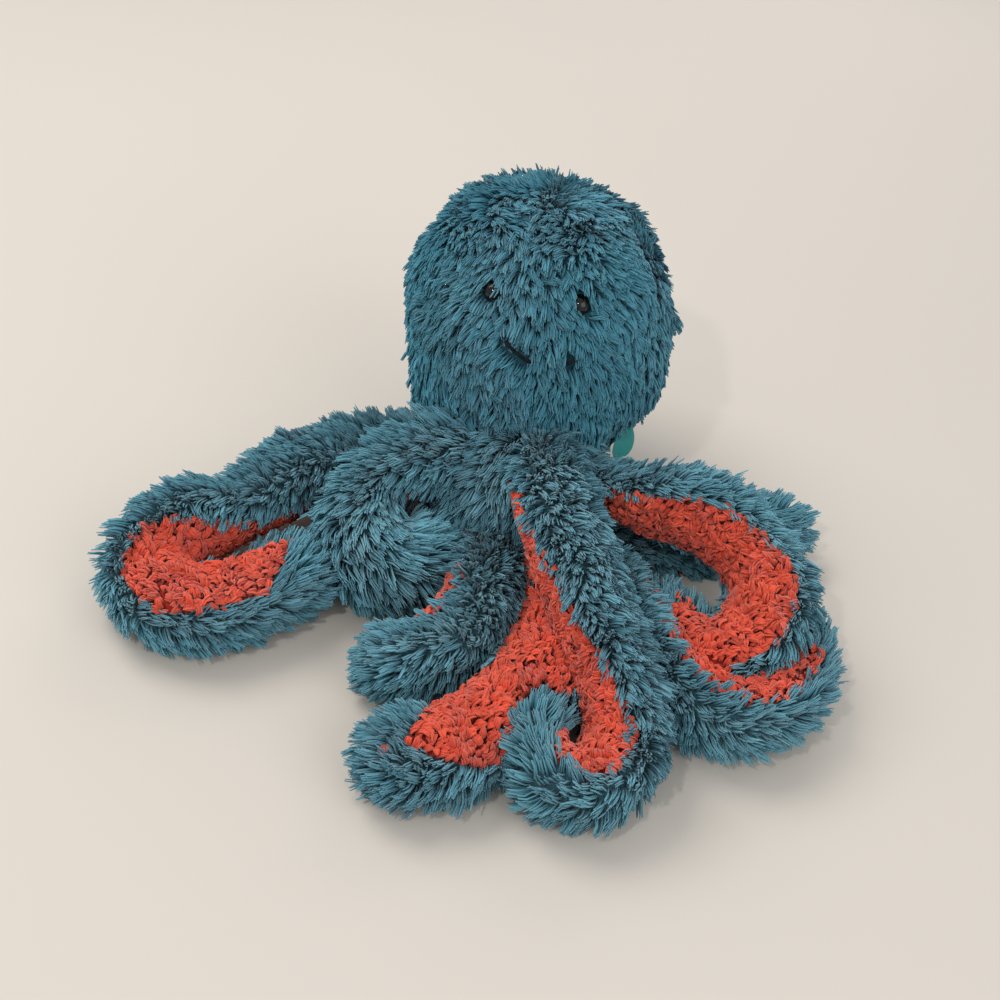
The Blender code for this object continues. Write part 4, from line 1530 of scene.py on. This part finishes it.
@dataclass
class TurnedPiece:
    """The body, or the plain form of the head: turned fabric with a shaggy pile, in several pieces."""

    name: str
    body: str
    volume: TurnedVolume
    hiding: Sequence[Volume]
    style: PileStyle
    material: bpy.types.Material
    seed: int
    pieces: int
    inset: float = HEAD_SKIN_INSET
    profile_steps: int = 60
    rings: int = 64
    columns: int = 96
    turn_spread: float = 0.02
    last_share: float = 0.999
    last_root_share: float = 0.998
    least_standing: float = 0.05
    fill: float = 0.75
    hidden_depth: float = 0.60

    def __post_init__(self) -> None:
        """Start the chance and resample the outline."""
        self.rng = np.random.default_rng(self.seed)
        self.profile = self.volume.smooth_profile(self.profile_steps)

    def local_surface(self, share: Array, angle: Array) -> Block:
        """Read the fabric in the part's own frame.

        Args:
            share: Shares of the way up the outline.
            angle: Angles round the axis, from the front.

        Returns:
            Places, normals and crown-ward directions.
        """
        row = share * (len(self.profile) - 1)
        index = np.arange(len(self.profile))
        radius, height = (np.interp(row, index, self.profile[:, k])[:, None] for k in range(2))
        rise = np.gradient(self.profile, axis=0)
        dr, dh = (np.interp(row, index, rise[:, k]) for k in range(2))
        norm = np.maximum(np.hypot(dr, dh), 1e-9)
        dr, dh = (dr / norm)[:, None], (dh / norm)[:, None]
        sine, cosine = np.sin(angle), np.cos(angle)
        out = np.stack([sine, -cosine, np.zeros_like(sine)], axis=1)
        normal = out * dh + UP * -dr
        place = out * radius + UP * height
        return place - normal * self.inset, normal, out * dr + UP * dh

    def shaped(self, place: Array, normal: Array) -> Array:
        """Change the plain turned form; the plain one is left as it is."""
        return place

    def comb(self, place: Array, normal: Array, along: Array) -> Array:
        """Way the pile is combed, in the part's own frame: down from the crown."""
        return -along

    def standing(self, place: Array) -> Array:
        """Share of the pile's length that stands at each place."""
        return np.ones(len(place))

    def unrest(self, share: Array) -> Array:
        """How much the combed way wanders, from the neck to the crown."""
        return np.ones(len(share))

    def uncovered(self, paths: Array) -> Array:
        """Tell which strands hang over nothing that has to show."""
        return np.ones(len(paths), dtype=bool)

    def fabric(self) -> Block:
        """Make the fabric.

        Returns:
            Points, quads and bake places.
        """
        share = np.linspace(0.0, self.last_share, self.rings + 1)
        angle = np.linspace(0, 2 * math.pi, self.columns, endpoint=False)
        flat_s, flat_a = all_pairs(share, angle)
        place, normal, _ = self.local_surface(flat_s, flat_a)
        place = self.volume.world(self.shaped(place, normal))
        tone = cloth_tone(place)
        return cloth_block(settle(place).reshape(self.rings + 1, self.columns, 3), True, tone)

    def roots(self) -> Tuple[Roots, Array]:
        """Scatter roots evenly over the turned form.

        Returns:
            The roots, and the share of the pile's length that stands at each.
        """
        fine = np.linspace(0, 1, FINE_STEPS)
        radius = np.interp(fine * (len(self.profile) - 1), np.arange(len(self.profile)), self.profile[:, 0])
        length = np.linalg.norm(np.diff(self.profile, axis=0), axis=1).sum()
        band = (radius[1:] + radius[:-1]) / 2 * 2 * math.pi * length / (FINE_STEPS - 1)
        area = np.concatenate([[0], np.cumsum(band)])
        share, golden = scatter(area, fine, self.style.spacing, self.rng)
        share = share.clip(0, self.last_root_share)
        angle = golden * 2 * math.pi + self.rng.normal(0, self.turn_spread, len(golden))
        place, normal, along = self.local_surface(share, angle)
        way = self.comb(place, normal, along)
        way = unit(way - normal * (way * normal).sum(axis=1)[:, None])
        standing = self.standing(place)
        place = self.shaped(place, normal)
        normal, way = self.volume.world_direction(normal), self.volume.world_direction(way)
        roots = Roots(self.volume.world(place), normal, way, self.unrest(share))
        keep = (standing > self.least_standing) & roots.off_floor()
        for other in self.hiding:
            keep &= other.depth(roots.place) > self.hidden_depth
        return roots.keep(keep), standing[keep]

    def build(self) -> List[bpy.types.Object]:
        """Make the pieces: the fabric goes with the first one, which stands for the solids.

        Returns:
            The pieces.
        """
        roots, standing = self.roots()
        strands = self.style.grow(roots, self.rng)
        start = strands.paths[:, :1]
        strands.paths = start + (strands.paths - start) * standing[:, None, None]
        made = []
        for chosen in np.array_split(np.flatnonzero(self.uncovered(strands.paths)), self.pieces):
            parts = MeshParts()
            if not made:
                parts.add(*self.fabric())
            points, quads, places = strands.keep(chosen).skin()
            parts.add(settle(points), quads, places)
            obj = parts.build("{}_shag_{}".format(self.name, len(made) + 1), self.material)
            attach(obj, self.body)
            if not made:
                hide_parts(self.name + "_cover", self.name + "_stuffing")
            made.append(obj)
        return made


@dataclass(frozen=True)
class FacePlan:
    """Where the eyes and the smile lie, in the head's own frame, seen from the front."""

    eye_radius: float = 0.0048
    eye_spread: float = 0.046
    eye_up: float = 0.0645
    eye_shift: float = 0.0012
    smile_width: float = 0.036
    smile_up: float = 0.0392
    smile_drop: float = 0.0072
    smile_shift: float = 0.0070
    smile_tilt: float = 0.0016
    hidden_start: float = -0.25
    hidden_end: float = 0.70

    def eye_gap(self, points: Array, eye: Eye, shift: float) -> Array:
        """Give the distance of points from the middle of an eye.

        Args:
            points: Positions, with the axes last.
            eye: Which eye.
            shift: How far it is moved across.

        Returns:
            One distance for each point.
        """
        across = points[..., 0] - eye.value * self.eye_spread / 2 - shift
        return np.hypot(across, points[..., 2] - self.eye_up)

    def along_smile(self, across: Array) -> Array:
        """Place along the smile, from -1 at one end to 1 at the other."""
        return (across - self.smile_shift) / (self.smile_width / 2)

    def smile_height(self, across: Array) -> Array:
        """Height of the smile at a distance across the face."""
        t = self.along_smile(across)
        return self.smile_up - self.smile_drop * (1 - t * t) - t * self.smile_tilt

    def smile_shown(self, across: Array, end: float) -> Array:
        """Tell where the smile isn't under the pile, up to its end."""
        t = self.along_smile(across)
        return (np.abs(t) < end) & ((t < self.hidden_start) | (t > self.hidden_end))


FACE_PLAN = FacePlan()

# Each side of the thread has its own strip of the bake map
THREAD_STRIP = np.array((0.0, 0.1, 0.1, 0.0))
THREAD_STRIP_STEP = 0.11


@dataclass
class Head(TurnedPiece):
    """The head: combed away from the face, parted for the eyes and the smile, with a nub on its side.

    Each row of fullness gives a side, a height, a spread and how far the cloth stands out there.
    """

    face: FacePlan = FACE_PLAN
    muzzle_up: float = 0.056
    muzzle_reach: float = 0.026
    muzzle_turn: float = 1.1
    nub_angle_deg: float = 84.0
    nub_up: float = 0.073
    nub_size: float = 0.0058
    nub_height: float = 0.0092
    left_eye_shift: float = -0.0010
    left_eye_open: float = 0.64
    right_eye_open: float = 0.78
    thread_gap: float = 0.0013
    nub_edge: Ramp = ((0.006, 0.011), (0.50, 1.0))
    eye_edge: Ramp = ((0.0034, 0.0052), (0.0, 1.0))
    smile_edge: Ramp = ((0.0005, 0.0018), (0.0, 1.0))
    above_smile: Ramp = ((0.0018, 0.010), (0.60, 1.0))
    crown_unrest: Ramp = ((0.0, 0.45, 0.62, 1.0), (0.8, 1.0, 2.6, 3.2))
    parted_end: float = 1.05
    fullness: Tuple[Tuple[int, float, float, float], ...] = (
        (1, 0.040, 0.024, 0.0080), (-1, 0.018, 0.018, 0.0045), (-1, 0.109, 0.011, -0.0065),
        (1, 0.102, 0.016, -0.0050),
    )

    def nub_gap(self, place: Array) -> Array:
        """Give the distance of each place from the middle of the nub.

        Args:
            place: Places in the head's own frame, n by 3.

        Returns:
            One distance for each place.
        """
        angle = math.radians(self.nub_angle_deg)
        radius = np.interp(self.nub_up, self.volume.heights, self.volume.radii) - self.inset
        nub = np.array((math.sin(angle) * radius, -math.cos(angle) * radius, self.nub_up))
        return np.linalg.norm(place - nub, axis=1)

    def shaped(self, place: Array, normal: Array) -> Array:
        """Raise the nub and the cheeks, and slim the sides above them.

        Args:
            place: Places in the head's own frame, n by 3.
            normal: Normals there.

        Returns:
            The places moved.
        """
        lift = self.nub_height * np.exp(-(self.nub_gap(place) / self.nub_size) ** 2)
        sideways = place[:, 0] / np.maximum(np.hypot(place[:, 0], place[:, 1]), 1e-6)
        for side, up, spread, height in self.fullness:
            share = np.clip(side * sideways, 0, 1) ** 3
            lift = lift + height * share * np.exp(-((place[:, 2] - up) / spread) ** 2)
        return place + normal * lift[:, None]

    def comb(self, place: Array, normal: Array, along: Array) -> Array:
        """Comb the pile down, and aside on the muzzle.

        Args:
            place: Places in the head's own frame, n by 3.
            normal: Normals there.
            along: Ways towards the crown.

        Returns:
            The combed ways.
        """
        aside = np.zeros_like(place)
        muzzle = np.exp(-((place[:, 2] - self.muzzle_up) / self.muzzle_reach) ** 2)
        aside[:, 0] = np.clip(place[:, 0] / self.muzzle_reach, -1, 1) * muzzle * self.muzzle_turn
        return unit(-along + aside * np.clip(-normal[:, 1], 0, 1)[:, None])

    def unrest(self, share: Array) -> Array:
        """How much the combed way wanders: most at the crown."""
        return np.interp(share, *self.crown_unrest)

    def standing(self, place: Array) -> Array:
        """Shorten the pile round the nub, the eyes and the smile.

        Args:
            place: Places in the head's own frame, n by 3.

        Returns:
            Share of the pile's length at each place.
        """
        face = self.face
        standing = np.interp(self.nub_gap(place), *self.nub_edge)
        front = place[:, 1] < 0
        for eye in Eye:
            clear = np.interp(face.eye_gap(place, eye, face.eye_shift), *self.eye_edge)
            standing = np.where(front, np.minimum(standing, clear), standing)
        rise = place[:, 2] - face.smile_height(place[:, 0])
        gap = np.abs(rise)
        parted = np.interp(gap, *self.smile_edge)
        near = np.interp(gap, *self.above_smile)
        parted = np.where(rise > 0, np.minimum(parted, near), parted)
        within = front & face.smile_shown(place[:, 0], self.parted_end)
        return np.where(within, np.minimum(standing, parted), standing)

    def uncovered(self, paths: Array) -> Array:
        """Tell which strands hang neither over an eye nor over an open stretch of the smile.

        Args:
            paths: Strands by points by 3.

        Returns:
            True for each strand that may stay.
        """
        face = self.face
        points = placed(paths.reshape(-1, 3), self.volume.inverse).reshape(paths.shape)
        left = face.eye_gap(points, Eye.LEFT, face.eye_shift + self.left_eye_shift)
        over = left < face.eye_radius * self.left_eye_open
        over |= face.eye_gap(points, Eye.RIGHT, face.eye_shift) < face.eye_radius * self.right_eye_open
        gap = np.abs(points[..., 2] - face.smile_height(points[..., 0]))
        over |= face.smile_shown(points[..., 0], 1.0) & (gap < self.thread_gap)
        return ~(over & (points[..., 1] < 0)).any(axis=1)


@dataclass
class Face:
    """Eyes and smile on the head."""

    head: TurnedVolume
    gloss: bpy.types.Material
    thread: bpy.types.Material
    plan: FacePlan = FACE_PLAN
    eye_proud: float = 0.0022
    dome_depth: float = 0.0036
    dome_share: float = 0.97
    dome_start_deg: float = 12.0
    dome_rings: int = 9
    dome_base: float = 0.0002
    pole_share: float = 0.01
    rim: Profile = (
        (0.35, -0.0052), (0.96, -0.0030), (1.08, -0.0006), (1.10, 0.0), (1.05, 0.0005), (0.97, 0.0006),
    )
    segments: int = 40
    smile_proud: float = 0.0062
    stitches: int = 7
    stitch_steps: int = 10
    stitch_laps: Tuple[float, float] = (-0.04, 1.06)
    stitch_rise: float = 0.0008
    stitch_dip: float = 0.0012
    even_dip_share: float = 0.8
    smile_end: float = 1.02
    sunk_depth: float = 0.0042
    sunk_stretch: Ramp = ((-0.32, -0.16, 0.58, 0.74), (0.0, 1.0, 1.0, 0.0))
    thread_radius: float = 0.00095
    thread_end_radius: float = 0.0003
    thread_sides: int = 8

    def in_front(self, across: Array, up: Array, out: Array) -> Array:
        """Give points in front of the head's surface, in its own frame.

        Args:
            across: Distances across the face.
            up: Heights on the head.
            out: Distances from the surface.

        Returns:
            Positions, n by 3.
        """
        radius = np.interp(up, self.head.heights, self.head.radii)
        angle = np.arcsin(across / radius)
        reach = radius + out
        return np.stack([np.sin(angle) * reach, -np.cos(angle) * reach, up], axis=-1)

    def eye_outline(self) -> Array:
        """Give the outline of the rim and the dome.

        Returns:
            Radii and heights, n by 2.
        """
        radius = self.plan.eye_radius
        angle = np.radians(np.linspace(self.dome_start_deg, 90.0, self.dome_rings))
        rim = np.array([(radius * share, up) for share, up in self.rim])
        height = self.dome_base + self.dome_depth * np.sin(angle)
        dome = np.stack([radius * self.dome_share * np.cos(angle), height], axis=1)
        dome[-1, 0] = radius * self.pole_share
        return np.concatenate([rim, dome])

    def eye(self, eye: Eye) -> bpy.types.Object:
        """Turn a smooth dome over a thin rim, and stand it in for the eye's solid.

        Args:
            eye: Which eye.

        Returns:
            The eye.
        """
        plan = self.plan
        across = eye.value * plan.eye_spread / 2 + plan.eye_shift
        place = Vector(self.in_front(across, plan.eye_up, self.eye_proud - HEAD_SKIN_INSET))
        facing = Vector((place.x, place.y, 0)).normalized().to_track_quat("Z", "X").to_matrix().to_4x4()
        stand = np.array(self.head.place @ Matrix.Translation(place) @ facing)
        outline = self.eye_outline()
        turns = np.linspace(0, 2 * math.pi, self.segments, endpoint=False)
        around = np.stack([np.cos(turns), np.sin(turns), np.zeros(self.segments)], axis=1)
        rings = outline[:, 0, None, None] * around[None] + outline[:, 1, None, None] * UP
        quads = weave_quads(np.arange(rings.size // 3).reshape(len(outline), self.segments), True)
        v, u = np.divmod(np.arange(len(quads)), self.segments)
        places = np.empty((len(quads), 4, 2))
        places[:, :, 0] = (u[:, None] + np.array((0, 1, 1, 0))) / self.segments
        places[:, :, 1] = (v[:, None] + np.array((0, 0, 1, 1))) / len(outline)
        parts = MeshParts()
        parts.add(placed(rings.reshape(-1, 3), stand), quads, places)
        side = eye.name.lower()
        obj = parts.build("eye_dome_" + side, self.gloss)
        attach(obj, "head")
        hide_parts("eye_" + side, "eye_washer_" + side)
        return obj

    def stitch(self, index: int) -> Array:
        """Lay one back stitch of the smile, in the head's own frame.

        Args:
            index: Which stitch it is.

        Returns:
            Positions along the thread, n by 3.
        """
        plan = self.plan
        start, end = (-1 + 2 * (index + lap) / self.stitches for lap in self.stitch_laps)
        share = np.linspace(0, 1, self.stitch_steps + 1)
        t = start + (end - start) * share
        across = np.clip(t, -self.smile_end, self.smile_end) * plan.smile_width / 2 + plan.smile_shift
        swell = np.sin(math.pi * share)
        dip = self.stitch_dip * (1 - swell) * (1 if index % 2 else self.even_dip_share)
        sunk = self.sunk_depth * np.interp(t, *self.sunk_stretch)
        out = self.smile_proud - HEAD_SKIN_INSET + self.stitch_rise * swell - dip - sunk
        return self.in_front(across, plan.smile_height(across), out)

    def smile(self) -> bpy.types.Object:
        """Sew the smile in back stitches of twisted thread.

        Returns:
            The smile.
        """
        parts = MeshParts()
        radii = np.full((1, self.stitch_steps + 1), self.thread_radius)
        radii[0, 0] = radii[0, -1] = self.thread_end_radius
        for index in range(self.stitches):
            path = self.head.world(self.stitch(index))[None]
            strands = Strands(path, radii, np.array([index / self.stitches]), self.head.matrix[:3, 2][None])
            points, quads, places = strands.skin(self.thread_sides)
            side = (np.arange(len(quads)) % self.thread_sides)[:, None]
            places[:, :, 0] = THREAD_STRIP + side * THREAD_STRIP_STEP
            parts.add(points, quads, places)
        obj = parts.build("smile_stitches", self.thread)
        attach(obj, "head")
        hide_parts("mouth_stitch")
        return obj

    def build(self) -> List[bpy.types.Object]:
        """Make both eyes and the smile.

        Returns:
            The pieces.
        """
        return [*(self.eye(eye) for eye in Eye), self.smile()]


@dataclass
class Label:
    """The bare woven label: a thin tape with a curved hang and a bowed edge."""

    head: TurnedVolume
    tape: bpy.types.Material
    width: float = 0.013
    length: float = 0.020
    thickness: float = 0.0007
    rounding: float = 0.004
    bow: float = 0.0050
    bow_power: float = 2.2
    up: float = 0.0147
    proud: float = 0.0030
    twist_deg: float = 47.0
    tilt_deg: float = -2.0
    round_deg: float = 82.0
    cup: float = 0.0007
    cup_start: float = 0.3
    curl: float = 0.0012
    edge_power: int = 6
    edge_rows: float = 1.5
    edge_share: float = 0.15
    columns: int = 12
    rows: int = 20
    strip: float = 0.48

    def hang(self) -> Array:
        """Give the label's place on the head.

        Returns:
            A placing matrix.
        """
        radius = float(np.interp(self.up, self.head.heights, self.head.radii)) + self.proud
        return np.array(
            self.head.place @ Matrix.Rotation(math.radians(self.round_deg), 4, "Z")
            @ Matrix.Translation((0, -radius, self.up))
            @ Matrix.Rotation(math.radians(-90 - self.tilt_deg), 4, "X")
            @ Matrix.Rotation(math.radians(self.twist_deg), 4, "Y"))

    def layer(self, face: int) -> Array:
        """Shape one face of the tape.

        Args:
            face: 1 for the outer face, -1 for the inner one.

        Returns:
            Positions in the label's own frame, rows by columns by 3.
        """
        down = np.arange(self.rows + 1)[:, None] / self.rows
        share = 2 * np.arange(self.columns + 1)[None, :] / self.columns - 1
        along = self.length * down
        past = np.maximum(along - (self.length - self.rounding), 0.0) / self.rounding
        half = self.width / 2 - self.rounding * (1 - np.sqrt(np.maximum(1 - past ** 2, 0.0)))
        bow = self.bow * np.maximum(share, 0.0) * np.abs(2 * down - 1) ** self.bow_power
        edge = 1 - np.abs(share) ** self.edge_power
        edge = edge * np.minimum(1.0, (1 - down) * self.rows / self.edge_rows + self.edge_share)
        out = self.cup * np.cos(share * math.pi / 2) * (self.cup_start + down)
        out = out + face * self.thickness / 2 * edge + self.curl * down ** 2
        return np.stack([half * share - bow, np.broadcast_to(along, out.shape), out], axis=-1)

    def build(self) -> List[bpy.types.Object]:
        """Make the label, and stand it in for its solid.

        Returns:
            The piece.
        """
        parts = MeshParts()
        hang = self.hang()
        for face, start in ((1, 0.0), (-1, 0.5)):
            index = np.arange((self.rows + 1) * (self.columns + 1)).reshape(self.rows + 1, self.columns + 1)
            quads = weave_quads(index, False)[:, ::face]
            v, u = np.divmod(quads, self.columns + 1)
            places = np.stack([u / self.columns * self.strip + start, v / self.rows], axis=-1)
            parts.add(placed(self.layer(face).reshape(-1, 3), hang), quads, places)
        obj = parts.build("label_tape", self.tape)
        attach(obj, "head")
        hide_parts("label")
        return [obj]


# Studio

@dataclass(frozen=True)
class Lamp:
    """A soft lamp of the studio."""

    name: str
    place: Place
    size: float
    power: float
    color: Color

    def build(self, target: Vector) -> None:
        """Hang the lamp and aim it.

        Args:
            target: Where it points.
        """
        light = bpy.data.lights.new(self.name, "AREA")
        light.size, light.energy, light.color = self.size, self.power, self.color
        holder = put_in_scene(self.name, light)
        holder.location = self.place
        holder.rotation_euler = (target - Vector(self.place)).to_track_quat("-Z", "Y").to_euler()


FLOOR_CORNERS = ((-1, -1), (1, -1), (1, 1), (-1, 1))


@dataclass(frozen=True)
class Studio:
    """The floor, the lamps, the world and the camera."""

    lamps: Tuple[Lamp, ...] = (
        Lamp("key_lamp", (-0.9, 0.35, 1.35), 0.9, 13.0, (1.0, 0.985, 0.96)),
        Lamp("fill_lamp", (0.9, -0.9, 0.9), 1.1, 6.0, (0.95, 0.97, 1.0)),
        Lamp("back_lamp", (0.4, 1.2, 0.8), 0.9, 4.0, (1.0, 1.0, 1.0)),
        Lamp("glint_lamp", (-0.35, -0.75, 0.95), 0.05, 2.4, (1.0, 1.0, 1.0)),
    )
    world_color: Color = (0.93, 0.96, 1.0)
    world_light: float = 0.55
    target: Place = (-0.006, -0.027, 0.041)
    distance: float = 0.66
    elevation_deg: float = 40.0
    roll_deg: float = 9.0
    lens_mm: float = 45.0
    sensor_mm: float = 36.0
    floor_half: float = 3.0

    def floor(self) -> None:
        """Lay the floor."""
        corners = [(x * self.floor_half, y * self.floor_half, 0) for x, y in FLOOR_CORNERS]
        mesh = bpy.data.meshes.new("floor")
        mesh.from_pydata(corners, [], [(0, 1, 2, 3)])
        mesh.materials.append(PALE_FLOOR.material())
        floor = put_in_scene("floor", mesh)

    def world(self) -> None:
        """Light the scene from all round."""
        world = bpy.data.worlds.new("studio")
        world.use_nodes = True
        background = world.node_tree.nodes["Background"]
        background.inputs["Color"].default_value = (*self.world_color, 1.0)
        background.inputs["Strength"].default_value = self.world_light
        bpy.context.scene.world = world

    def camera(self) -> None:
        """Stand the camera where the photograph was taken from."""
        elevation, roll = math.radians(self.elevation_deg), math.radians(self.roll_deg)
        back = Vector((0, -math.cos(elevation), math.sin(elevation)))
        right = Vector((1, 0, 0))
        up = back.cross(right)
        data = bpy.data.cameras.new("camera")
        data.lens = self.lens_mm
        data.sensor_width = self.sensor_mm
        turned_right = right * math.cos(roll) + up * math.sin(roll)
        turned_up = up * math.cos(roll) - right * math.sin(roll)
        basis = Matrix((turned_right, turned_up, back)).transposed().to_4x4()
        camera = put_in_scene("camera", data)
        camera.matrix_world = Matrix.Translation(Vector(self.target) + back * self.distance) @ basis
        bpy.context.scene.camera = camera

    def build(self) -> None:
        """Set everything up."""
        bpy.context.scene.view_settings.view_transform = "Standard"
        self.floor()
        self.world()
        for lamp in self.lamps:
            lamp.build(Vector(self.target))
        self.camera()


def main() -> None:
    """Dress the octopus, and report each piece."""
    logging.basicConfig(level=logging.INFO, format="%(message)s")
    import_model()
    Studio().build()
    shag, head_shag, curls = (finish.material() for finish in (ARM_BLUE, HEAD_BLUE, CORAL_PILE))
    head = TurnedVolume(HEAD_PROFILE_SHARES, HEAD_RADIUS, HEAD_LENGTH, head_matrix())
    body_place = Matrix.Translation((0, BODY_Y, 0))
    body = TurnedVolume(BODY_PROFILE_SHARES, BODY_RADIUS, BODY_HEIGHT, body_place)
    shapes = [ArmShape(plan) for plan in ARM_PLANS]
    assemblies = [
        Head("head", "head", head, [], HEAD_PILE, head_shag, seed=5, pieces=5),
        TurnedPiece("body", "root", body, [head], ARM_PILE, shag, seed=6, pieces=2),
    ]
    for index, shape in enumerate(shapes):
        pressing = [head, body, *shapes[:index]]
        hiding = [head, body, *(other for other in shapes if other is not shape)]
        assemblies.append(Arm(shape, pressing, hiding, {Side.BACK: shag, Side.LINING: curls}))
    assemblies += [
        Face(head, EYE_GLOSS.material(), BLACK_THREAD.material()), Label(head, TEAL_TAPE.material())]
    for assembly in assemblies:
        for obj in assembly.build():
            LOG.info("%s has %d faces", obj.name, len(obj.data.polygons))


if __name__ == "__main__":
    main()
